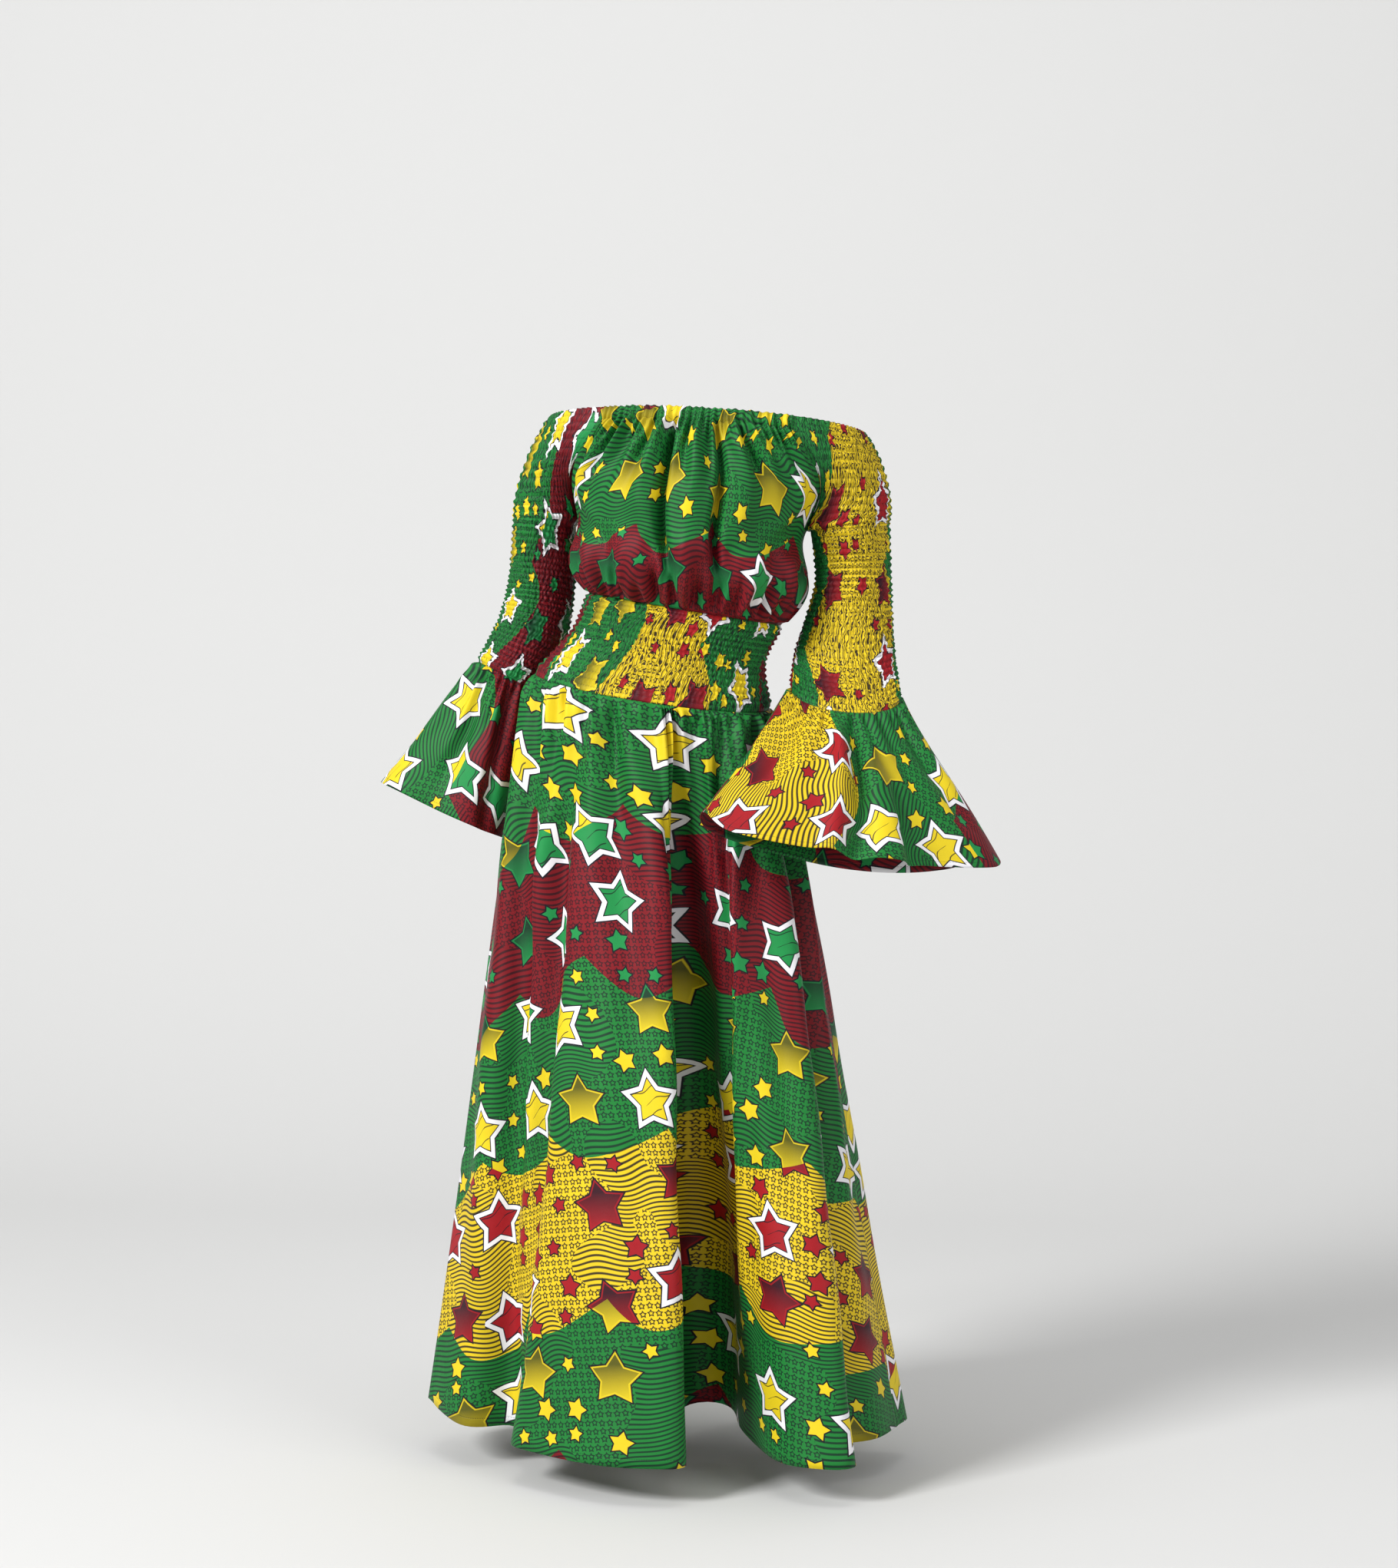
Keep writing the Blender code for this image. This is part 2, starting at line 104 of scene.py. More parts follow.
@dataclass(frozen=True)
class Fold:
    """A fold's place at the skirt's hem, with the share of the waist that it hangs from and its lift."""

    waist: float
    across: float
    depth: float
    lift: float


@dataclass(frozen=True)
class Wave:
    """How far a bell cuff's hem stands out at a share of the way round, and how much lower it hangs."""

    share: float
    reach: float
    drop: float


@dataclass(frozen=True)
class Band:
    """A level strip of a piece: its height in metres, and its middle and spread as shares of the way down."""

    height: float
    middle: float
    spread: float

    def rise(self, at: Array) -> Array:
        """The height at each share of the way down, falling away softly on both sides."""
        return self.height * np.exp(-0.5 * ((at - self.middle) / self.spread) ** 2)


@dataclass(frozen=True)
class Crease:
    """A soft trough or ridge laid on the cloth.

    share is its place across the piece at its top, lean how far that moves by its lower end, top and bottom
    its ends down the piece, width its half-width in metres and depth its height, below zero for a trough.
    """

    share: float
    lean: float
    top: float
    bottom: float
    width: float
    depth: float

    def run(self, at: Array) -> Array:
        """Shares of the crease's own length."""
        return (at - self.top) / (self.bottom - self.top)

    def off(self, share: Array, at: Array, width: float) -> Array:
        """How many of its half-widths each place is from its middle, on a piece of a width in metres."""
        middle = self.share + self.lean * np.clip(self.run(at), 0, 1) ** CREASE_BEND
        return (share - middle) * width / self.width


def table(kind: type, *rows: tuple[float, ...]) -> tuple:
    """A table of one kind, from its rows of numbers."""
    return tuple(kind(*row) for row in rows)


BODICE_RINGS = table(
    Ring,
    (0.00, 0.000, 0.000, 0.000, 0.216, 0.118, 0.105, 3.7, -6.0, 0.0),
    (0.30, -0.008, 0.000, -0.075, 0.183, 0.149, 0.112, 3.7, -3.0, 0.0),
    (0.55, -0.022, -0.002, -0.141, 0.155, 0.150, 0.116, 4.5, 0.0, 0.0),
    (0.82, -0.025, -0.003, -0.204, 0.163, 0.146, 0.126, 6.5, 2.0, 0.0),
    (1.00, -0.030, -0.004, -0.2495, 0.134, 0.101, 0.096, 10.0, 3.0, 0.0),
)
WAISTBAND_RINGS = table(
    Ring,
    (0.0, -0.030, -0.004, -0.2495, 0.134, 0.101, 0.096, 10.0, 3.0, 0.0),
    (0.5, -0.053, -0.007, -0.3022, 0.133, 0.102, 0.097, 10.0, 5.0, 0.0),
    (1.0, -0.0746, -0.0105, -0.3620, 0.163, 0.124, 0.121, 9.5, 8.0, 0.0),
)
LEFT_SLEEVE_RINGS = table(
    Ring,
    (0.32, 0.1950, 0.008, -0.138, 0.052, 0.052, 0.050, -4.0, 4.0, 0.0),
    (0.50, 0.1990, 0.026, -0.205, 0.049, 0.051, 0.049, 0.0, 3.0, 0.0),
    (0.66, 0.1935, 0.028, -0.258, 0.056, 0.054, 0.052, 2.0, 10.0, 0.0),
    (0.82, 0.1890, 0.004, -0.315, 0.066, 0.058, 0.056, 3.0, 24.0, 8.0),
    (1.00, 0.1950, -0.050, -0.370, 0.0735, 0.062, 0.060, 3.0, 24.0, 16.0),
)
RIGHT_SLEEVE_RINGS = table(
    Ring,
    (0.32, -0.2280, 0.012, -0.128, 0.041, 0.048, 0.046, 6.0, 2.0, 0.0),
    (0.52, -0.2370, 0.036, -0.200, 0.043, 0.045, 0.044, 5.0, 0.0, 0.0),
    (0.72, -0.2490, 0.045, -0.260, 0.046, 0.047, 0.046, 13.0, -4.0, 0.0),
    (0.86, -0.2680, 0.052, -0.302, 0.047, 0.048, 0.048, 22.0, -6.0, 0.0),
    (1.00, -0.2900, 0.058, -0.340, 0.047, 0.049, 0.049, 27.0, -4.0, 0.0),
)
LEFT_BELL_RINGS = table(
    Ring,
    (0.0, 0.1950, -0.050, -0.370, 0.0735, 0.062, 0.060, 3.0, 24.0, 16.0),
    (0.5, 0.2060, -0.106, -0.472, 0.135, 0.082, 0.074, 5.0, 10.0, 24.0),
    (1.0, 0.2080, -0.146, -0.578, 0.203, 0.088, 0.082, 6.0, -2.0, 28.0),
)
RIGHT_BELL_RINGS = table(
    Ring,
    (0.0, -0.2900, 0.058, -0.340, 0.047, 0.049, 0.049, 27.0, -4.0, 0.0),
    (0.5, -0.3320, 0.068, -0.434, 0.074, 0.068, 0.066, 25.0, -2.0, 10.0),
    (1.0, -0.3770, 0.078, -0.530, 0.102, 0.088, 0.086, 21.7, 0.0, 18.0),
)
FRONT_FOLDS = table(
    Fold,
    (0.00, -0.391, -0.004, 0.026),
    (0.10, -0.325, -0.078, 0.007),
    (0.20, -0.262, -0.070, 0.005),
    (0.25, -0.257, -0.138, 0.002),
    (0.31, -0.194, -0.199, 0.000),
    (0.41, -0.107, -0.250, 0.000),
    (0.50, -0.034, -0.258, 0.000),
    (0.56, -0.004, -0.236, 0.000),
    (0.58, -0.024, -0.150, 0.010),
    (0.60, -0.012, -0.036, 0.029),
    (0.62, 0.028, -0.030, 0.029),
    (0.66, 0.058, -0.074, 0.012),
    (0.73, 0.114, -0.186, 0.000),
    (0.80, 0.166, -0.228, 0.000),
    (0.87, 0.217, -0.218, 0.000),
    (0.90, 0.199, -0.126, 0.004),
    (0.95, 0.236, -0.066, 0.003),
    (1.00, 0.260, 0.016, 0.002),
)
BACK_FOLDS = table(
    Fold,
    (0.00, 0.260, 0.016, 0.002),
    (0.07, 0.262, 0.078, 0.004),
    (0.16, 0.160, 0.096, 0.010),
    (0.25, 0.178, 0.186, 0.004),
    (0.33, 0.056, 0.142, 0.012),
    (0.42, 0.024, 0.246, 0.006),
    (0.50, -0.062, 0.158, 0.014),
    (0.58, -0.142, 0.246, 0.008),
    (0.67, -0.186, 0.140, 0.014),
    (0.77, -0.304, 0.188, 0.012),
    (0.86, -0.292, 0.090, 0.018),
    (0.94, -0.388, 0.068, 0.022),
    (1.00, -0.391, -0.004, 0.026),
)
LEFT_BELL_WAVES = table(
    Wave,
    (0.00, 0.000, -0.030),
    (0.08, 0.006, -0.006),
    (0.18, -0.006, 0.006),
    (0.27, 0.012, 0.010),
    (0.33, -0.016, 0.012),
    (0.42, 0.012, 0.004),
    (0.50, 0.006, -0.012),
    (0.60, -0.012, 0.010),
    (0.70, 0.012, 0.020),
    (0.80, -0.010, 0.012),
    (0.90, 0.008, -0.008),
)
RIGHT_BELL_WAVES = table(
    Wave,
    (0.00, -0.010, 0.004),
    (0.12, 0.008, 0.000),
    (0.23, -0.012, 0.004),
    (0.34, 0.012, -0.002),
    (0.45, 0.002, -0.004),
    (0.57, 0.006, 0.000),
    (0.68, -0.012, 0.006),
    (0.79, 0.010, 0.010),
    (0.90, -0.006, 0.008),
)

# The cloth's height over its plain form, and the share of a piece in which it comes down to a seam.
WALL = 0.0015
SEAM_REACH = 0.030
# A laid crease: the shares of its run in which it rises and fades, the rise's head start, how far above
# its top it reaches, how its lean grows, and the share of its depth that the print loses into it.
CREASE_RISE = 0.25
CREASE_FADE = 0.35
CREASE_START = 0.15
CREASE_ABOVE = -0.05
CREASE_BEND = 1.3
CLOTH_TAKEN = 0.65
# Points nearer than this are welded where a tube closes.
SAME_POINT = 0.00002
# The armhole: its share of the bodice's height, its angle at the neckline and the angle of the side seam.
UNDERARM = 0.55
NECK_EDGE_ANGLE = 38.0
SIDE_ANGLE = 90.0
# How far across a sleeve its seams pull it, where down they let go, and how far the shoulder stands out.
SEAM_PULL = 0.5
SEAM_RELEASE = 0.93
SHOULDER_FULLNESS = 0.012
# The skirt: how far the hips push it out and where, its hem's height and the steps between two folds.
HIP_SPRING = 0.014
HIP_PLACE = 0.6
HEM_HEIGHT = -1.37
HEM_STEPS = 24
# The sine waves that an uneven field is made of, and the range of their pace.
DRIFT_WAVES = 5
DRIFT_PACES = (0.6, 1.5)
# The bodice's strips: its casing's scallops, swell and stitching, the gathers below it, the cloth that
# hangs from them, and the coarse and fine gathers at the waist.
CASING_SCALLOPS = Band(0.0016, 0.0, 0.05)
CASING_SWELL = Band(0.0012, 0.035, 0.018)
CASING_STITCHES = Band(-0.0026, 0.066, 0.007)
NECK_GATHERS = Band(0.0040, 0.115, 0.045)
NECK_FULLNESS = Band(0.0026, 0.115, 0.045)
HANGING = Band(0.0052, 0.22, 0.12)
WAIST_COARSE = Band(0.0058, 0.93, 0.085)
WAIST_FINE = Band(0.0022, 0.93, 0.085)


def smoothstep(value: Array) -> Array:
    """0 below 0, 1 above 1, and a soft rise between."""
    value = np.clip(value, 0.0, 1.0)
    return value * value * (3 - 2 * value)


def eased(share: Array, reach: float) -> Array:
    """0 at both ends of a piece and 1 between, with a soft rise over a share of it."""
    return smoothstep(np.minimum(share, 1 - share) / reach)


def ripples(count: float, share: Array, wander: float, uneven: Array) -> Array:
    """A count of ripples across a piece, from -1 to 1, that wander with an uneven field."""
    return np.cos(ROUND * count * share + wander * uneven)


def drift(across: Array, down: Array, seed: int) -> Array:
    """A smooth uneven field from -1 to 1, the same at each run.

    Args:
        across: places across the cloth, in wavelengths.
        down: places down the cloth, in wavelengths.
        seed: which field it is.

    Returns:
        The field at each place.
    """
    chance = np.random.default_rng(seed)
    total = np.zeros(np.broadcast(across, down).shape)
    for _ in range(DRIFT_WAVES):
        turn = chance.uniform(0, ROUND)
        pace = chance.uniform(*DRIFT_PACES)
        phase = chance.uniform(0, ROUND)
        total += np.sin(ROUND * pace * (across * math.cos(turn) + down * math.sin(turn)) + phase)
    return total / DRIFT_WAVES


def turned(first: Array, second: Array, angle: Array) -> tuple[Array, Array]:
    """Two coordinates, turned by an angle in radians."""
    return first * np.cos(angle) - second * np.sin(angle), first * np.sin(angle) + second * np.cos(angle)


def curve_through(knots: Array, values: Array, at: Array) -> Array:
    """A smooth curve through a table's rows.

    Args:
        knots: the rows' places, rising.
        values: the column's values at those places.
        at: where to read the curve.

    Returns:
        The curve's value at each place.
    """
    last = len(knots) - 1
    low, high = np.maximum(np.arange(last + 1) - 1, 0), np.minimum(np.arange(last + 1) + 1, last)
    slopes = (values[high] - values[low]) / (knots[high] - knots[low])
    k = np.clip(np.searchsorted(knots, at, side="right") - 1, 0, last - 1)
    gap = knots[k + 1] - knots[k]
    share = (at - knots[k]) / gap
    square, cube = share * share, share**3
    return (
        values[k] * (2 * cube - 3 * square + 1)
        + slopes[k] * gap * (cube - 2 * square + share)
        + values[k + 1] * (3 * square - 2 * cube)
        + slopes[k + 1] * gap * (cube - square)
    )


@dataclass(frozen=True)
class RingStack:
    """The rings that a piece of cloth passes through."""

    rings: tuple[Ring, ...]

    def column(self, name: str, at: Array) -> Array:
        """One size of the rings, read smoothly at each share of the way down.

        Args:
            name: the ring's field.
            at: shares of the way down.

        Returns:
            The size at each share.
        """
        knots = np.array([ring.at for ring in self.rings])
        values = np.array([getattr(ring, name) for ring in self.rings])
        return curve_through(knots, values, at)

    def place(self, at: Array, angle: Array, spring: Array | float = 0.0) -> Array:
        """Points on the rings.

        Args:
            at: shares of the way down.
            angle: degrees from the front towards the wearer's left.
            spring: how far the points stand out of the ring.

        Returns:
            The points, one row each.
        """
        sine, cosine = np.sin(np.radians(angle)), np.cos(np.radians(angle))
        reach = np.where(cosine > 0, self.column("front", at), self.column("back", at))
        across = (self.column("half_width", at) + spring) * sine
        depth = -(reach + spring) * cosine
        pitch, roll, turn = (np.radians(self.column(name, at)) for name in ("pitch", "roll", "turn"))
        depth, height = turned(depth, np.zeros_like(depth), pitch)
        across, height = turned(across, height, -roll)
        across, depth = turned(across, depth, turn)
        middle = np.stack([self.column(name, at) for name in ("across", "depth", "height")], axis=-1)
        return middle + np.stack([across, depth, height], axis=-1)


BODICE = RingStack(BODICE_RINGS)
WAIST = RingStack(WAISTBAND_RINGS)


def bodice_edge(at: Array) -> Array:
    """The angle of a bodice panel's side edge: the armhole down to under the arm, then the side."""
    return NECK_EDGE_ANGLE + (SIDE_ANGLE - NECK_EDGE_ANGLE) * smoothstep(at / UNDERARM)


def bodice_form(at: Array, share: Array, facing: Facing) -> Array:
    """Points on a bodice panel.

    Args:
        at: shares of the way down.
        share: shares of the way across.
        facing: which panel it is.

    Returns:
        The points, one row each.
    """
    return BODICE.place(at, facing.value + (2 * share - 1) * bodice_edge(at))


@dataclass
class Graph:
    """Adds nodes to a material or a node group, with sockets given as numbers or as other nodes' outputs."""

    tree: bpy.types.NodeTree

    def node(self, kind: str, inputs: dict | None = None, **settings: object) -> bpy.types.Node:
        """Adds a node.

        Args:
            kind: the node's type.
            inputs: its sockets' values, by name or number.
            settings: its other settings.

        Returns:
            The node.
        """
        node = self.tree.nodes.new(kind)
        for name, value in settings.items():
            setattr(node, name, value)
        for name, value in (inputs or {}).items():
            self.feed(node.inputs[name], value)
        return node

    def feed(self, socket: Socket, value: object) -> None:
        """Links a value to a socket if it is another socket, and otherwise sets it there.

        Args:
            socket: the input to feed.
            value: a number, a vector, a colour or another node's output.
        """
        if isinstance(value, Socket):
            self.tree.links.new(value, socket)
        else:
            socket.default_value = value

    def math(self, operation: str, *values: object, clamp: bool = False) -> Socket:
        """A Math node's operation on numbers, kept from 0 to 1 where clamp is set."""
        inputs = dict(enumerate(values))
        return self.node("ShaderNodeMath", inputs, operation=operation, use_clamp=clamp).outputs[0]

    def plus(self, first: object, second: object) -> Socket:
        """The sum of two numbers."""
        return self.math("ADD", first, second)

    def times(self, first: object, second: object) -> Socket:
        """The product of two numbers."""
        return self.math("MULTIPLY", first, second)

    def vector(self, operation: str, *values: object) -> Socket:
        """A Vector Math node's operation, giving a number for a length or distance."""
        node = self.node("ShaderNodeVectorMath", dict(enumerate(values)), operation=operation)
        return node.outputs["Value" if operation in {"LENGTH", "DISTANCE"} else 0]

    def blend(self, factor: object, first: object, second: object) -> Socket:
        """Mixes two colours: a factor of 0 gives the first and 1 the second."""
        inputs = {"Factor": factor, 6: first, 7: second}
        return self.node("ShaderNodeMix", inputs, data_type="RGBA").outputs[2]

    def parts(self, vector: object) -> tuple[Socket, ...]:
        """The X, Y and Z of a vector."""
        return tuple(self.node("ShaderNodeSeparateXYZ", {0: vector}).outputs)

    def joined(self, x: object, y: object) -> Socket:
        """A vector from its X and Y."""
        return self.node("ShaderNodeCombineXYZ", {0: x, 1: y}).outputs[0]

    def noise(self, vector: object, scale: float, detail: float) -> Socket:
        """A noise texture's factor."""
        inputs = {"Vector": vector, "Scale": scale, "Detail": detail}
        return self.node("ShaderNodeTexNoise", inputs, noise_dimensions="2D").outputs[0]

    def cells(self, vector: object, size: float, scatter: float) -> bpy.types.Node:
        """A texture of cells, at a spacing in metres that is even at a scatter of 0."""
        inputs = {"Vector": vector, "Scale": 1 / size, "Randomness": scatter}
        return self.node("ShaderNodeTexVoronoi", inputs, voronoi_dimensions="2D")

    def within(self, distance: object, edge: object, softness: float) -> Socket:
        """1 where a distance is below an edge, 0 above it, over a soft step."""
        gap = self.math("SUBTRACT", edge, distance)
        return self.math("MULTIPLY_ADD", gap, 1 / softness, 0.5, clamp=True)

    def sine(self, place: object, length: float) -> Socket:
        """A sine wave of a length along a place, from -1 to 1."""
        return self.math("SINE", self.times(place, ROUND / length))


def grid_mesh(name: str, columns: int, rows: int, size: float) -> bpy.types.Mesh:
    """A flat grid's mesh.

    Args:
        name: the mesh's name.
        columns: its segments along X.
        rows: its segments along Y.
        size: half its side.

    Returns:
        The mesh.
    """
    grid = bmesh.new()
    bmesh.ops.create_grid(grid, x_segments=columns, y_segments=rows, size=size)
    data = bpy.data.meshes.new(name)
    grid.to_mesh(data)
    grid.free()
    return data


def placed(name: str, data: bpy.types.ID) -> bpy.types.Object:
    """Puts a new object into the scene, at the origin.

    Args:
        name: the object's name.
        data: its mesh, light or camera.

    Returns:
        The object.
    """
    made = bpy.data.objects.new(name, data)
    bpy.context.scene.collection.objects.link(made)
    return made


@dataclass(frozen=True)
class Inks:
    """The colours of one zone of the print, as linear light."""

    ground: RGBA
    line: RGBA
    star: RGBA
    shade: RGBA


GREEN_ZONE = Inks(
    ground=(0.008, 0.172, 0.027, 1), line=(0.002, 0.030, 0.012, 1),
    star=(0.70, 0.53, 0.010, 1), shade=(0.085, 0.082, 0.004, 1),
)
YELLOW_ZONE = Inks(
    ground=(0.68, 0.49, 0.010, 1), line=(0.040, 0.026, 0.006, 1),
    star=(0.31, 0.005, 0.010, 1), shade=(0.030, 0.002, 0.008, 1),
)
RED_ZONE = Inks(
    ground=(0.180, 0.003, 0.008, 1), line=(0.040, 0.001, 0.005, 1),
    star=(0.010, 0.230, 0.055, 1), shade=(0.003, 0.034, 0.014, 1),
)
KEY_INK = (0.003, 0.003, 0.009, 1)
WHITE_INK = (0.78, 0.77, 0.80, 1)


@dataclass
class WaxPrint:
    """The print's node group: colour zones, wavy lines, tiny stars and scattered stars, in cloth metres."""

    period: float = 0.857
    red_share: float = 0.25
    yellow_share: tuple[float, float] = (0.625, 0.125)
    band_slant: float = 0.54
    boundary_swing: float = 0.050
    boundary_drift: float = 0.05
    boundary_noise: float = 5.0
    scallop_width: float = 0.20
    wave_length: float = 0.085
    wave_height: float = 0.0034
    swell: float = 0.034
    swell_noise: float = 8.0
    line_pitch: float = 0.0064
    line_width: float = 0.0013
    patch_share: float = 0.52
    patch_noise: float = 7.5
    patch_place: tuple[float, float, float] = (3.7, 1.9, 0)
    tiny_spacing: float = 0.0104
    tiny_scatter: float = 0.12
    tiny_star: float = 0.0040
    tiny_outline: float = 0.00075
    small_spacing: float = 0.050
    small_scatter: float = 0.62
    small_radii: tuple[float, float] = (0.0118, 0.0170)
    small_outline: tuple[float, float] = (0.0010, -0.0008)
    small_lean: float = 1.1
    small_missing: float = 0.16
    larger_share: float = 0.55
    large_spacing: float = 0.122
    large_scatter: float = 0.42
    large_outline: tuple[float, float] = (0.0011, -0.0006)
    large_lean: float = 0.7
    large_star: float = 0.045
    shaded_star: float = 0.037
    banded_share: float = 0.52
    clearance: float = 0.003
    white_band: tuple[float, float] = (-0.0064, -0.0078)
    rim: tuple[float, float] = (0.0020, 0.0009)
    shading: tuple[float, float] = (20.0, 0.36)
    fine_ink: float = 0.85
    stroke_slant: float = 0.35
    stroke_length: float = 0.036
    stroke_height: float = 0.0024
    stroke_pitch: float = 0.0085
    stroke_width: float = 0.0008
    stroke_breaks: tuple[float, float, float] = (1.4, 21.0, 0.6)
    star_waist: float = 0.56
    soft_edge: float = 0.0005
    group: bpy.types.NodeTree = field(init=False)
    star_group: bpy.types.NodeTree = field(init=False)

    def __post_init__(self) -> None:
        """Makes the star's group first and then the print's."""
        self.star_group = self.make_star()
        self.group = self.make_print()

    def make_star(self) -> bpy.types.NodeTree:
        """A group that gives the distance to the edge of a five-pointed star, below 0 inside it.

        Returns:
            The node group.
        """
        tree = bpy.data.node_groups.new("five_pointed_star", "ShaderNodeTree")
        for name, kind in (("Offset", "Vector"), ("Turn", "Float"), ("Radius", "Float")):
            tree.interface.new_socket(name, in_out="INPUT", socket_type="NodeSocket" + kind)
        tree.interface.new_socket("Distance", in_out="OUTPUT", socket_type="NodeSocketFloat")
        g = Graph(tree)
        inputs = g.node("NodeGroupInput").outputs
        x, y, _ = g.parts(inputs["Offset"])
        angle = g.plus(g.math("ARCTAN2", y, x), inputs["Turn"])
        folded = g.math("PINGPONG", angle, math.pi / 5)
        reach = g.vector("LENGTH", inputs["Offset"])
        tip_x = self.star_waist * math.cos(math.pi / 5) - 1
        tip_y = self.star_waist * math.sin(math.pi / 5)
        length = math.hypot(tip_x, tip_y)
        along = g.times(g.math("COSINE", folded), tip_y / length)
        beside = g.times(g.math("SINE", folded), -tip_x / length)
        distance = g.times(reach, g.plus(along, beside))
        distance = g.math("SUBTRACT", distance, g.times(inputs["Radius"], tip_y / length))
        g.node("NodeGroupOutput", {"Distance": distance})
        return tree

    def star(self, g: Graph, offset: object, turn: object, radius: object) -> Socket:
        """The distance to a star's edge, from the offset to its middle, its turn and its radius."""
        inputs = {"Offset": offset, "Turn": turn, "Radius": radius}
        return g.node("ShaderNodeGroup", inputs, node_tree=self.star_group).outputs["Distance"]

    def make_print(self) -> bpy.types.NodeTree:
        """The whole print.

        Returns:
            The node group, from the cloth's and the zones' coordinates to a colour.
        """
        tree = bpy.data.node_groups.new("wax_print", "ShaderNodeTree")
        for name in ("Cloth", "Zone"):
            tree.interface.new_socket(name, in_out="INPUT", socket_type="NodeSocketVector")
        tree.interface.new_socket("Color", in_out="OUTPUT", socket_type="NodeSocketColor")
        g = Graph(tree)
        inputs = g.node("NodeGroupInput").outputs
        cloth = inputs["Cloth"]
        inks = self.zones(g, inputs["Zone"])
        colour = self.ground(g, cloth, inks)
        colour = self.small_stars(g, cloth, inks, colour)
        g.node("NodeGroupOutput", {"Color": self.large_stars(g, cloth, inks, colour)})
        return tree

    def zones(self, g: Graph, place: object) -> InkSockets:
        """The colour zones, in bands with scalloped edges.

        Args:
            g: the graph to add to.
            place: the coordinates that the bands follow, with their run along Y.

        Returns:
            Each ink's colour here.
        """
        x, y, _ = g.parts(place)
        along = g.plus(x, g.times(y, self.band_slant))
        scallop = g.math("ABSOLUTE", g.sine(along, 2 * self.scallop_width))
        uneven = g.noise(place, self.boundary_noise, 1.0)
        swing = g.plus(g.times(scallop, self.boundary_swing), g.times(uneven, self.boundary_drift))
        shifted = g.math("DIVIDE", g.math("SUBTRACT", y, swing), self.period)
        share = g.math("FRACT", g.plus(shifted, 10.0))
        red = g.math("LESS_THAN", share, self.red_share)
        yellow = g.math("COMPARE", share, *self.yellow_share)
        inks = {}
        for ink in ("ground", "line", "star", "shade"):
            base = g.blend(red, getattr(GREEN_ZONE, ink), getattr(RED_ZONE, ink))
            inks[ink] = g.blend(yellow, base, getattr(YELLOW_ZONE, ink))
        return inks

    def ground(self, g: Graph, cloth: object, inks: InkSockets) -> Socket:
        """The ground: patches of wavy lines and of tiny outlined stars.

        Args:
            g: the graph to add to.
            cloth: the cloth's coordinates.
            inks: the zone's inks here.

        Returns:
            The ground's colour.
        """
        x, y, _ = g.parts(cloth)
        wave = g.times(g.sine(x, self.wave_length), self.wave_height)
        swell = g.times(g.noise(cloth, self.swell_noise, 0.0), self.swell)
        level = g.plus(y, g.plus(wave, swell))
        stripe = g.math("PINGPONG", level, self.line_pitch / 2)
        lines = g.within(stripe, self.line_width, 0.0009)
        cell = g.cells(cloth, self.tiny_spacing, self.tiny_scatter)
        offset = g.vector("SUBTRACT", cloth, cell.outputs["Position"])
        tiny = self.star(g, offset, math.pi / 2, self.tiny_star)
        mosaic = g.within(g.math("ABSOLUTE", tiny), self.tiny_outline, self.soft_edge)
        uneven = g.noise(g.vector("ADD", cloth, self.patch_place), self.patch_noise, 0.5)
        patch = g.math("GREATER_THAN", uneven, self.patch_share)
        marks = g.plus(g.times(lines, g.math("SUBTRACT", 1.0, patch)), g.times(mosaic, patch))
        return g.blend(marks, inks["ground"], inks["line"])

    def small_stars(self, g: Graph, cloth: object, inks: InkSockets, under: object) -> Socket:
        """Small plain stars with a dark outline, clear of the large ones.

        Args:
            g: the graph to add to.
            cloth: the cloth's coordinates.
            inks: the zone's inks here.
            under: the colour below them.

        Returns:
            The colour with the stars.
        """
        cell = g.cells(cloth, self.small_spacing, self.small_scatter)
        middle = cell.outputs["Position"]
        chance, size, turn = g.parts(cell.outputs["Color"])
        low, high = self.small_radii
        radius = g.plus(low, g.times(g.math("GREATER_THAN", size, self.larger_share), high - low))
        lean = g.math("MULTIPLY_ADD", turn, self.small_lean, (math.pi - self.small_lean) / 2)
        distance = self.star(g, g.vector("SUBTRACT", cloth, middle), lean, radius)
        nearest = g.cells(middle, self.large_spacing, self.large_scatter)
        room = g.vector("DISTANCE", middle, nearest.outputs["Position"])
        clear = g.math("GREATER_THAN", room, self.large_star + self.clearance)
        shown = g.times(clear, g.math("GREATER_THAN", chance, self.small_missing))
        outer, inner = self.small_outline
        outline = g.times(g.within(distance, outer, self.soft_edge), shown)
        fill = g.times(g.within(distance, inner, self.soft_edge), shown)
        return g.blend(fill, g.blend(outline, under, KEY_INK), inks["star"])

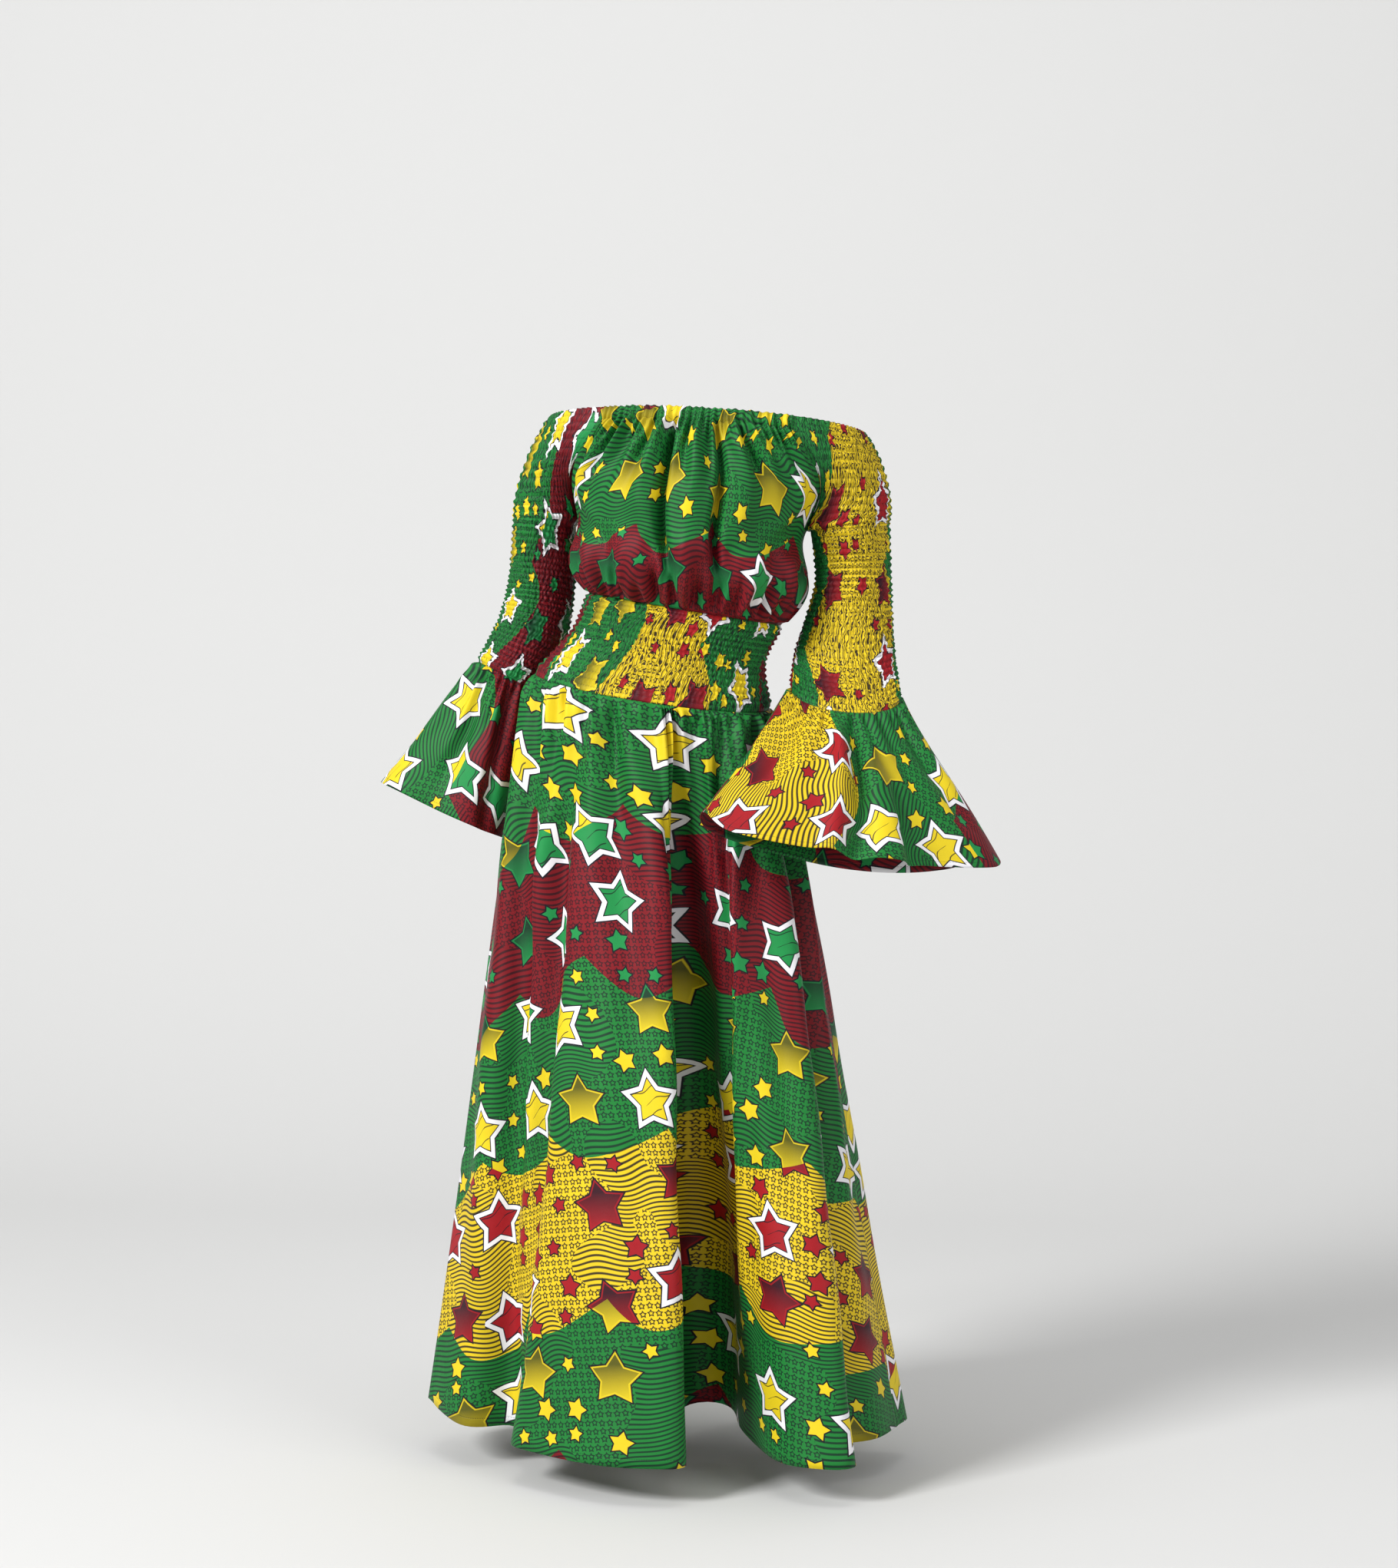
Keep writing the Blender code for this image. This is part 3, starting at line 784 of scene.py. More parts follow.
    def large_stars(self, g: Graph, cloth: object, inks: InkSockets, under: object) -> Socket:
        """Large stars: some with a white band and fine strokes, some shaded with a bright rim.

        Args:
            g: the graph to add to.
            cloth: the cloth's coordinates.
            inks: the zone's inks here.
            under: the colour below them.

        Returns:
            The colour with the stars.
        """
        cell = g.cells(cloth, self.large_spacing, self.large_scatter)
        offset = g.vector("SUBTRACT", cloth, cell.outputs["Position"])
        kind, turn, _ = g.parts(cell.outputs["Color"])
        banded = g.math("LESS_THAN", kind, self.banded_share)
        radius = g.plus(self.shaded_star, g.times(banded, self.large_star - self.shaded_star))
        lean = g.math("MULTIPLY_ADD", turn, self.large_lean, (math.pi - self.large_lean) / 2)
        distance = self.star(g, offset, lean, radius)
        x, y, _ = g.parts(offset)
        plain = g.blend(g.times(self.strokes(g, x, y), self.fine_ink), inks["star"], KEY_INK)
        outer, inner = self.white_band
        white = g.blend(g.within(distance, outer, self.soft_edge), WHITE_INK, KEY_INK)
        white = g.blend(g.within(distance, inner, self.soft_edge), white, plain)
        light = g.math("MULTIPLY_ADD", y, *self.shading, clamp=True)
        shaded = g.blend(light, inks["shade"], inks["star"])
        inset, reach = self.rim
        rim = g.within(g.math("ABSOLUTE", g.plus(distance, inset)), reach, 0.0008)
        shaded = g.blend(g.times(rim, self.fine_ink), shaded, inks["star"])
        fill = g.blend(banded, shaded, white)
        outer, inner = self.large_outline
        inked = g.blend(g.within(distance, outer, self.soft_edge), under, KEY_INK)
        return g.blend(g.within(distance, inner, self.soft_edge), inked, fill)

    def strokes(self, g: Graph, x: object, y: object) -> Socket:
        """The short curved strokes inside a large star.

        Args:
            g: the graph to add to.
            x: how far across from the star's middle.
            y: how far up from it.

        Returns:
            How much a stroke shows.
        """
        slant = g.plus(y, g.times(x, self.stroke_slant))
        bend = g.times(g.sine(x, self.stroke_length), self.stroke_height)
        stroke = g.math("PINGPONG", g.plus(slant, bend), self.stroke_pitch)
        slope, pace, share = self.stroke_breaks
        run = g.math("FRACT", g.times(g.plus(x, g.times(y, slope)), pace))
        return g.times(g.within(stroke, self.stroke_width, 0.0004), g.math("LESS_THAN", run, share))


@dataclass(frozen=True)
class Cotton:
    """The finish of one piece: waxed printed cotton, with its weave, creases, stitching and faint wear.

    shift and zone are how far the stars and the colour bands are moved on it, tilt is the bands' slope in
    degrees, elastic the spacing of its rows of elastic and hem the stitching's place above its edge.
    """

    name: str
    grain: Grain
    shift: tuple[float, float]
    zone: tuple[float, float]
    tilt: float = 0.0
    elastic: float = 0.0
    hem: float = 0.0
    roughness: float = 0.56
    roughness_swing: float = 0.16
    wear: float = 0.30
    wear_noise: float = 14.0
    darkest: float = 0.84
    stitch_length: float = 0.0034
    stitch_share: float = 0.62
    groove_width: float = 0.0009
    groove_depth: float = 0.0005
    thread_width: float = 0.0004
    thread_ink: float = 0.55
    elastic_ink: float = 0.30
    yarn: float = 0.0007
    weave_height: float = 0.00004
    crumple_height: float = 0.0009
    crumple_noise: float = 55.0
    bump: float = 0.55

    def material(self, wax: WaxPrint) -> bpy.types.Material:
        """The piece's material.

        Args:
            wax: the print.

        Returns:
            The material, which reads the piece's own cloth and edge coordinates.
        """
        material = bpy.data.materials.new(self.name)
        material.use_nodes = True
        g = Graph(material.node_tree)
        shader = material.node_tree.nodes["Principled BSDF"]
        uv = g.node("ShaderNodeUVMap", uv_map="cloth").outputs[0]
        edge = g.node("ShaderNodeUVMap", uv_map="edge").outputs[0]
        cloth = g.vector("ADD", uv, (*self.shift, 0.0))
        x, y, _ = g.parts(uv)
        run, rise = (x, y) if self.grain is Grain.DOWN else (y, x)
        print_place = g.vector("ADD", g.joined(run, rise), (*self.shift, 0.0))
        tilted = g.plus(rise, g.times(run, math.tan(math.radians(self.tilt))))
        zone_place = g.vector("ADD", g.joined(run, tilted), (*self.zone, 0.0))
        ink = g.node("ShaderNodeGroup", {"Cloth": print_place, "Zone": zone_place}, node_tree=wax.group)
        worn = g.noise(cloth, self.wear_noise, 4.0)
        lightness = g.math("MULTIPLY_ADD", worn, self.wear, self.darkest)
        faded = g.node("ShaderNodeHueSaturation", {"Color": ink.outputs["Color"], "Value": lightness})
        thread, height = self.stitches(g, edge)
        g.feed(shader.inputs["Base Color"], g.blend(thread, faded.outputs[0], KEY_INK))
        low = self.roughness - self.roughness_swing / 2
        g.feed(shader.inputs["Roughness"], g.math("MULTIPLY_ADD", worn, self.roughness_swing, low))
        for name, value in (("Specular IOR Level", 0.22), ("Sheen Weight", 0.03), ("Sheen Roughness", 0.45)):
            shader.inputs[name].default_value = value
        g.feed(shader.inputs["Normal"], self.relief(g, cloth, height))
        return material

    def stitches(self, g: Graph, edge: object) -> tuple[object, object]:
        """The stitch rows: along the hem, and on each row of elastic.

        Args:
            g: the graph to add to.
            edge: metres along the piece, and metres from its hem or rows of elastic.

        Returns:
            How much the thread shows, and how deep its groove is.
        """
        along, off, _ = g.parts(edge)
        dash = g.math("FRACT", g.math("DIVIDE", along, self.stitch_length))
        dash = g.math("LESS_THAN", dash, self.stitch_share)
        if self.elastic:
            row = g.times(g.math("PINGPONG", off, 0.5), self.elastic)
            groove = g.within(row, self.groove_width, 0.0008)
            return g.times(g.times(groove, dash), self.elastic_ink), groove
        gap = g.math("ABSOLUTE", g.math("SUBTRACT", off, self.hem))
        groove = g.within(gap, self.groove_width, 0.0008)
        thread = g.times(g.within(gap, self.thread_width, 0.0003), dash)
        return g.times(thread, self.thread_ink), groove

    def relief(self, g: Graph, cloth: object, groove: object) -> Socket:
        """The weave, the small creases and the stitch grooves, as bump.

        Args:
            g: the graph to add to.
            cloth: the cloth's coordinates.
            groove: how deep a stitch groove is here.

        Returns:
            The bumped normal's socket.
        """
        x, y, _ = g.parts(cloth)
        weave = g.times(g.times(g.sine(x, self.yarn), g.sine(y, self.yarn)), self.weave_height)
        creased = g.times(g.noise(cloth, self.crumple_noise, 3.0), self.crumple_height)
        height = g.math("SUBTRACT", g.plus(weave, creased), g.times(groove, self.groove_depth))
        return g.node("ShaderNodeBump", {"Strength": self.bump, "Distance": 1.0, "Height": height}).outputs[0]


@dataclass
class ClothPiece:
    """One cut piece of cloth, made from a grid whose rows run from its top edge to its hem.

    cut is its flat width and length in metres, printed_width the width that its print covers, sewn the
    shares at its top and its hem in which it comes down to a seam, and worn_width its width as worn.
    """

    name: str
    nodes: tuple[str, ...]
    finish: Cotton
    columns: int
    rows: int
    cut: tuple[float, float]
    printed_width: float = 0.0
    cut_area: float | None = None
    closed: bool = False
    sewn: tuple[float, float] = (0.0, 0.0)
    creases: tuple[Crease, ...] = ()
    worn_width: float = 0.9
    thickness: float = 0.0006
    held: str = "gathered"
    piece: bpy.types.Object = field(init=False, default=None)

    def form(self, share: Array, at: Array) -> Array:
        """The plain form's points at each share across and down."""
        raise NotImplementedError

    def relief(self, share: Array, at: Array) -> Array:
        """How far the cloth stands off its plain form."""
        return np.zeros_like(share)

    def moved(self, share: Array, at: Array) -> Array:
        """How far the print moves sideways on the form, in metres of cloth."""
        return self.taken_in(share, at)

    def cloth(self, share: Array, at: Array) -> Array:
        """The cloth's own coordinates in metres: across, and down its grain."""
        across = (share - 0.5) * self.printed_width + self.moved(share, at)
        return np.stack([across, at * self.cut[1]], axis=-1)

    def laid(self, share: Array, at: Array) -> Array:
        """The height of the laid creases.

        Args:
            share: shares of the way across.
            at: shares of the way down.

        Returns:
            The height at each place.
        """
        height = np.zeros_like(share)
        for crease in self.creases:
            run = crease.run(at)
            ends = smoothstep(run / CREASE_RISE + CREASE_START) * smoothstep((1 - run) / CREASE_FADE)
            ends = np.where((run < CREASE_ABOVE) | (run > 1), 0.0, ends)
            height += crease.depth * ends * np.exp(-0.5 * crease.off(share, at, self.worn_width) ** 2)
        return height

    def taken_in(self, share: Array, at: Array) -> Array:
        """How much cloth the creases take in on the way across, so that the print breaks at them.

        Args:
            share: shares of the way across.
            at: shares of the way down.

        Returns:
            The metres of cloth taken in from the middle to each place.
        """
        taken = np.zeros_like(share)
        for crease in self.creases:
            run = np.clip(crease.run(at), 0, 1)
            deep = CLOTH_TAKEN * abs(crease.depth) * smoothstep(run / CREASE_RISE)
            deep = deep * smoothstep((1 - run) / CREASE_FADE)
            taken += deep * np.tanh(crease.off(share, at, self.worn_width))
        return taken

    def edge(self, share: Array, at: Array) -> Array:
        """Metres along the piece, and metres up from its hem."""
        return np.stack([share * self.cut[0], (1 - at) * self.cut[1]], axis=-1)

    def spaced(self, down: Array) -> Array:
        """Where each row lies, as a share of the way down."""
        return down

    def build(self, wax: WaxPrint) -> bpy.types.Object:
        """Makes the piece, dresses it and joins it to the frame.

        Args:
            wax: the print.

        Returns:
            The finished piece.
        """
        data = grid_mesh(self.name, self.columns, self.rows, 0.5)
        flat = np.empty(len(data.vertices) * 3, dtype=np.float32)
        data.vertices.foreach_get("co", flat)
        flat = flat.reshape(-1, 3)
        columns = len(np.unique(np.round(flat[:, 0], 5)))
        rows = len(np.unique(np.round(flat[:, 1], 5)))
        i = np.rint((flat[:, 0] + 0.5) * (columns - 1)).astype(int)
        j = np.rint((0.5 - flat[:, 1]) * (rows - 1)).astype(int)
        share, down = np.meshgrid(np.linspace(0, 1, columns), np.linspace(0, 1, rows))
        at = self.spaced(down)
        height = (WALL + self.relief(share, at)) * self.seamed(share, at)
        points = self.stand_off(self.form(share, at), height)
        data.vertices.foreach_set("co", points[j, i].astype(np.float32).ravel())
        self.lay_map(data, "cloth", self.cloth(share, at)[j, i])
        self.lay_map(data, "edge", self.edge(share, at)[j, i])
        self.weld(data, points)
        data.shade_smooth()
        data.materials.append(self.finish.material(wax))
        self.piece = placed(self.name, data)
        shell = self.piece.modifiers.new("wall", "SOLIDIFY")
        shell.thickness = self.thickness
        shell.offset = -1.0
        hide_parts(*self.nodes)
        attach(self.piece, "root")
        log.info("%s: %d vertices", self.name, len(data.vertices))
        return self.piece

    def seamed(self, share: Array, at: Array) -> Array:
        """Brings the cloth down to its seams, where it meets the next pieces.

        Args:
            share: shares across the piece.
            at: shares down the piece.

        Returns:
            The share of its height that the cloth has at each place.
        """
        fade = np.ones_like(share)
        if not self.closed:
            fade *= eased(share, SEAM_REACH)
        for reach, away in zip(self.sewn, (at, 1 - at)):
            if reach:
                fade *= smoothstep(away / reach)
        return fade

    def stand_off(self, points: Array, height: Array) -> Array:
        """Moves a grid's points out along its normals.

        Args:
            points: the plain form, in rows and columns.
            height: how far out each point goes.

        Returns:
            The moved points.
        """
        if self.closed:
            ring = points[:, :-1]
            along = np.roll(ring, -1, axis=1) - np.roll(ring, 1, axis=1)
            along = np.concatenate([along, along[:, :1]], axis=1)
        else:
            along = np.gradient(points, axis=1)
        down = np.gradient(points, axis=0)
        normal = np.cross(along, -down)
        normal /= np.maximum(np.linalg.norm(normal, axis=-1, keepdims=True), 1e-12)
        return points + normal * height[..., None]

    def lay_map(self, data: bpy.types.Mesh, name: str, values: Array) -> None:
        """Writes coordinates for each vertex into a UV map.

        Args:
            data: the mesh.
            name: the map's name.
            values: the coordinates, a row for each vertex.
        """
        layer = data.uv_layers.new(name=name)
        corners = np.empty(len(data.loops), dtype=np.int32)
        data.loops.foreach_get("vertex_index", corners)
        layer.data.foreach_set("uv", values[corners].astype(np.float32).ravel())

    def joined_rows(self, points: Array) -> int:
        """From which row down the side edges meet."""
        return 0 if self.closed else len(points)

    def weld(self, data: bpy.types.Mesh, points: Array) -> None:
        """Joins the side edges of a tube where they meet.

        Args:
            data: the mesh.
            points: its points, in rows and columns.
        """
        first = self.joined_rows(points)
        if first >= len(points):
            return
        mesh = bmesh.new()
        mesh.from_mesh(data)
        sides = points[first:, [0, -1]].reshape(-1, 3)
        seam = {tuple(np.round(p, 6)) for p in sides.astype(np.float32)}
        near = [v for v in mesh.verts if tuple(np.round(np.array(v.co, dtype=np.float32), 6)) in seam]
        bmesh.ops.remove_doubles(mesh, verts=near, dist=SAME_POINT)
        mesh.to_mesh(data)
        mesh.free()


@dataclass
class ShirredPiece(ClothPiece):
    """A piece that rows of elastic pull into puckers, with a print that slips into them."""

    length: float = 0.39
    girth: float = 0.34
    row_spacing: float = 0.0092
    pitch: float = 0.0064
    lift: float = 0.0019
    pucker: float = 0.0021
    creep: float = 0.0034
    mix: tuple[float, float] = (0.60, 0.40)
    seed: int = 3

    def ridges(self, share: Array, at: Array) -> tuple[Array, Array, Array]:
        """The puckers' places: two sets of ridges that wander between the rows of elastic.

        Args:
            share: shares of the way across.
            at: shares of the way down.

        Returns:
            The phase of each set, and how uneven the cloth is there.
        """
        row = at * self.length / self.row_spacing
        around = ROUND * share
        sway = drift(np.cos(around) * 1.9, row * 0.42 + np.sin(around) * 1.9, self.seed)
        other = drift(np.sin(around) * 1.7, row * 0.66 + np.cos(around) * 1.7, self.seed + 1)
        first = around * round(self.girth / self.pitch) + 6.0 * sway
        second = around * round(self.girth / self.pitch / 1.45) + 7.0 * other
        return first, second, other

    def puckers(self, share: Array, at: Array) -> Array:
        """The puckers' height.

        Args:
            share: shares of the way across.
            at: shares of the way down.

        Returns:
            The height at each place.
        """
        first, second, uneven = self.ridges(share, at)
        puff = np.sin(math.pi * at * self.length / self.row_spacing) ** 2
        ridge = np.cos(first) * self.mix[0] + np.cos(second) * self.mix[1]
        return self.lift * puff * (0.85 + 0.4 * uneven) + self.pucker * (0.40 + 0.60 * puff) * (ridge + 0.25)

    def moved(self, share: Array, at: Array) -> Array:
        """How far the print slips sideways into the puckers, in metres of cloth."""
        first, second, _ = self.ridges(share, at)
        return self.creep * (np.sin(first) * self.mix[0] + np.sin(second) * self.mix[1])

    def edge(self, share: Array, at: Array) -> Array:
        """Metres round the piece, and rows of elastic down it."""
        return np.stack([share * self.cut[0], at * self.length / self.row_spacing], axis=-1)


@dataclass
class BodicePanel(ClothPiece):
    """The front or back of the bodice, gathered on the neck elastic and bloused over the waistband."""

    facing: Facing = Facing.FRONT
    worn_width: float = 0.46
    gathers: int = 30
    waist_gathers: tuple[int, int] = (17, 31)
    unevenness: float = 0.0026
    seed: int = 11

    def form(self, share: Array, at: Array) -> Array:
        """The panel's points, with the blouse's fullness."""
        return bodice_form(at, share, self.facing)

    def relief(self, share: Array, at: Array) -> Array:
        """The casing's scallops, the gathers below it, the laid creases and the gathers at the waist.

        Args:
            share: shares of the way across.
            at: shares of the way down.

        Returns:
            How far the cloth stands off its form.
        """
        coarse, close = self.waist_gathers
        wave = ripples(self.gathers, share, 3.2, drift(share * 3, at * 1.2, self.seed))
        broad = ripples(self.gathers * 0.38, share, 4.5, drift(share * 2, at * 0.8, self.seed + 1))
        low = ripples(coarse, share, 4.0, drift(share * 3, at, self.seed + 2))
        fine = ripples(close, share, 4.0, drift(share * 4, at * 2, self.seed + 4))
        casing = wave * CASING_SCALLOPS.rise(at) + CASING_SWELL.rise(at) + CASING_STITCHES.rise(at)
        below = wave * NECK_GATHERS.rise(at) + NECK_FULLNESS.rise(at) + broad * HANGING.rise(at)
        waist = (low * WAIST_COARSE.rise(at) + fine * WAIST_FINE.rise(at)) * smoothstep((1 - at) / 0.03)
        soft = self.unevenness * drift(share * 3.5, at * 2.5, self.seed + 3)
        free = eased(share, 0.06) * smoothstep((1 - at) / 0.02)
        return casing + (below + waist + soft + self.laid(share, at)) * free


@dataclass
class Waistband(ShirredPiece):
    """The shirred band round the waist."""

    length: float = 0.135
    girth: float = 0.84

    def form(self, share: Array, at: Array) -> Array:
        """The band's points, starting at the wearer's right side."""
        return WAIST.place(at, 360 * share - SIDE_ANGLE)

    def relief(self, share: Array, at: Array) -> Array:
        """The puckers between the rows of elastic, lower at both ends."""
        return self.puckers(share, at) * (0.25 + 0.75 * eased(at, 0.05))


@dataclass
class SkirtPanel(ClothPiece):
    """The front or back of the skirt, falling from its gathered top in deep folds."""

    facing: Facing = Facing.FRONT
    folds: tuple[Fold, ...] = FRONT_FOLDS
    sector: float = 0.82
    cut_length: float = 1.015
    cut_radius: float = 0.45
    gathers: int = 34
    gather_heights: tuple[float, float] = (0.0050, 0.0095)
    unevenness: float = 0.0040
    seed: int = 31

    def hem(self, share: Array) -> tuple[Array, Array]:
        """The hem's points at shares of its length.

        Args:
            share: shares of the hem's length.

        Returns:
            The share of the waist that each hangs from, and the points.
        """
        k = np.linspace(0, len(self.folds) - 1, HEM_STEPS * (len(self.folds) - 1) + 1)
        knots = np.arange(len(self.folds), dtype=float)
        across, depth, lift, waist = (
            curve_through(knots, np.array([getattr(fold, name) for fold in self.folds]), k)
            for name in ("across", "depth", "lift", "waist")
        )
        points = np.stack([across, depth, HEM_HEIGHT + lift], axis=-1)
        walked = np.concatenate([[0.0], np.cumsum(np.linalg.norm(np.diff(points, axis=0), axis=1))])
        goal = share * walked[-1]
        places = np.stack([np.interp(goal, walked, points[:, axis]) for axis in range(3)], axis=-1)
        return np.interp(goal, walked, waist), places

    def form(self, share: Array, at: Array) -> Array:
        """The panel's points: from the waist's ring to the hem, with the hips' fullness.

        Args:
            share: shares of the way across.
            at: shares of the way down.

        Returns:
            The points.
        """
        waist, hem = self.hem(share)
        spring = HIP_SPRING * np.sin(math.pi * at**HIP_PLACE)
        angle = self.facing.value + (2 * waist - 1) * SIDE_ANGLE
        top = WAIST.place(np.ones_like(at), angle, spring)
        return top + (hem - top) * at[..., None]

    def relief(self, share: Array, at: Array) -> Array:
        """The gathers below the waist, the laid creases and a faint unevenness.

        Args:
            share: shares of the way across.
            at: shares of the way down.

        Returns:
            How far the cloth stands off its form.
        """
        low, high = self.gather_heights
        fine = ripples(self.gathers, share, 3.0, drift(share * 4, at * 3, self.seed))
        broad = ripples(self.gathers * 0.40, share, 4.0, drift(share * 3, at * 2, self.seed + 1))
        gathered = low * fine * np.exp(-at / 0.045)
        gathered += high * broad * smoothstep(at / 0.03) * np.exp(-at / 0.19)
        gathered *= smoothstep(at / 0.008)
        soft = self.unevenness * drift(share * 5, at * 3.5, self.seed + 2) * smoothstep(at / 0.2)
        return (gathered + soft + self.laid(share, at)) * eased(share, 0.02)

    def cloth(self, share: Array, at: Array) -> Array:
        """The cloth's coordinates on its flared cut: a sector of a ring.

        Args:
            share: shares of the way across.
            at: shares of the way down.

        Returns:
            Metres across and down the cut.
        """
        radius = self.cut_radius + at * self.cut_length
        waist, _ = self.hem(share)
        angle = (waist + (share - waist) * at - 0.5) * self.sector + self.moved(share, at) / radius
        return np.stack([radius * np.sin(angle), radius * np.cos(angle) - self.cut_radius], axis=-1)

    def spaced(self, down: Array) -> Array:
        """Closer rows below the waist."""
        return down**1.25


@dataclass
class Sleeve(ShirredPiece):
    """A sleeve, shirred from the neckline to its cuff."""

    side: Side = Side.LEFT
    stack: RingStack = RingStack(LEFT_SLEEVE_RINGS)
    casing_scallops: int = 34
    casing_height: float = 0.0013

    def neck_angle(self, share: Array) -> Array:
        """The angle round the neckline along the sleeve's top edge."""
        start = NECK_EDGE_ANGLE if self.side is Side.LEFT else 180 + NECK_EDGE_ANGLE
        return start + share * (180 - 2 * NECK_EDGE_ANGLE)

    def underarm(self) -> float:
        """The share of the way down where the sleeve becomes a tube."""
        return self.stack.rings[0].at

    def ends_of_arc(self, share: Array, at: Array) -> tuple[Array, Array]:
        """Points on the neckline and on the sleeve's first ring."""
        neck = BODICE.place(np.zeros_like(at), self.neck_angle(share))
        return neck, self.stack.place(np.full_like(at, self.underarm()), self.side.round_arm(share))

    def form(self, share: Array, at: Array) -> Array:
        """The sleeve's points: an arc between the armhole's seams, then a tube.

        Args:
            share: shares of the way across.
            at: shares of the way down.

        Returns:
            The points.
        """
        tube = self.stack.place(np.maximum(at, self.underarm()), self.side.round_arm(share))
        down = np.minimum(at / self.underarm(), 1.0)
        blend = ((smoothstep(down) + down) / 2)[..., None]
        neck, arm = self.ends_of_arc(share, at)
        point = neck + (arm - neck) * blend
        release = 1 - smoothstep((down - SEAM_RELEASE) / (1 - SEAM_RELEASE))
        for end, facing in enumerate((Facing.FRONT, Facing.BACK)[:: self.side.value]):
            corner, cuff = self.ends_of_arc(np.full_like(at, end), at)
            panel_share = (1 + self.side.value) / 2 if facing is Facing.FRONT else (1 - self.side.value) / 2
            seam = bodice_form(down * UNDERARM, np.full_like(at, panel_share), facing)
            weight = np.maximum(0.0, 1 - np.abs(share - end) / SEAM_PULL) ** 2
            point += (seam - corner - (cuff - corner) * blend) * (weight * release)[..., None]
        fullness = SHOULDER_FULLNESS * np.sin(math.pi * share) * np.sin(math.pi * down)
        point[..., 0] += self.side.value * fullness
        return np.where((at >= self.underarm())[..., None], tube, point)

    def relief(self, share: Array, at: Array) -> Array:
        """The puckers, eased away where the sleeve lies against the bodice.

        Args:
            share: shares of the way across.
            at: shares of the way down.

        Returns:
            How far the cloth stands off its form.
        """
        close = smoothstep((np.minimum(share, 1 - share) - 0.02) / 0.12)
        high = 1 - smoothstep((at - self.underarm()) / 0.14)
        ease = 1 - high * (1 - close)
        top = smoothstep(at / 0.03)
        casing = self.casing_height * np.cos(ROUND * self.casing_scallops * share) * (1 - top)
        ends = (0.2 + 0.8 * top) * (0.2 + 0.8 * smoothstep((1 - at) / 0.03))
        return casing + self.puckers(share, at) * ease * ends

    def joined_rows(self, points: Array) -> int:
        """From which row down the side edges meet.

        Args:
            points: the sleeve's points, in rows and columns.

        Returns:
            The first such row.
        """
        gap = np.linalg.norm(points[:, 0] - points[:, -1], axis=-1)
        apart = np.nonzero(gap > SAME_POINT)[0]
        return int(apart[-1]) + 1 if len(apart) else 0


@dataclass
class BellCuff(ClothPiece):
    """A flared bell cuff, gathered into the end of its sleeve."""

    side: Side = Side.LEFT
    stack: RingStack = RingStack(LEFT_BELL_RINGS)
    waves: tuple[Wave, ...] = LEFT_BELL_WAVES
    sector: float = 2.6
    length: float = 0.24
    cut_radius: float = 0.20
    radial: float = 0.5
    gathers: int = 26
    broad_gathers: int = 9
    gather_heights: tuple[float, float] = (0.0046, 0.0034)
    seed: int = 51

    def wave(self, name: str, share: Array) -> Array:
        """A column of the waves, read all the way round.

        Args:
            name: the wave's field.
            share: shares of the way round.

        Returns:
            Its value at each share.
        """
        knots = np.array([wave.share + lap for lap in (-1, 0, 1) for wave in self.waves])
        values = np.array([getattr(wave, name) for _ in range(3) for wave in self.waves])
        return curve_through(knots, values, share)

    def form(self, share: Array, at: Array) -> Array:
        """The cuff's points, from the sleeve's end to the waving hem.

        Args:
            share: shares of the way across.
            at: shares of the way down.

        Returns:
            The points.
        """
        points = self.stack.place(at, self.side.round_arm(share), self.wave("reach", share) * at)
        points[..., 2] -= self.wave("drop", share) * at
        return points

    def relief(self, share: Array, at: Array) -> Array:
        """The gathers at the seam and the laid creases.

        Args:
            share: shares of the way across.
            at: shares of the way down.

        Returns:
            How far the cloth stands off its form.
        """
        low, high = self.gather_heights
        sway = drift(np.cos(ROUND * share), np.sin(ROUND * share) + at * 0.6, self.seed)
        fine = ripples(self.gathers, share, 2.5, sway)
        gathered = low * fine * np.exp(-at / 0.16) * smoothstep(at / 0.03)
        broad = high * ripples(self.broad_gathers, share, 3.0, sway) * np.exp(-((at - 0.3) ** 2) / 0.09)
        return gathered + broad + self.laid(share, at)

    def cloth(self, share: Array, at: Array) -> Array:
        """The cloth's coordinates on its flared cut.

        Args:
            share: shares of the way across.
            at: shares of the way down.

        Returns:
            Metres across and down the cut.
        """
        radius = self.cut_radius + at * self.length
        angle = (share - self.radial) * self.sector + self.moved(share, at) / radius
        return np.stack([radius * np.sin(angle), radius * np.cos(angle)], axis=-1)


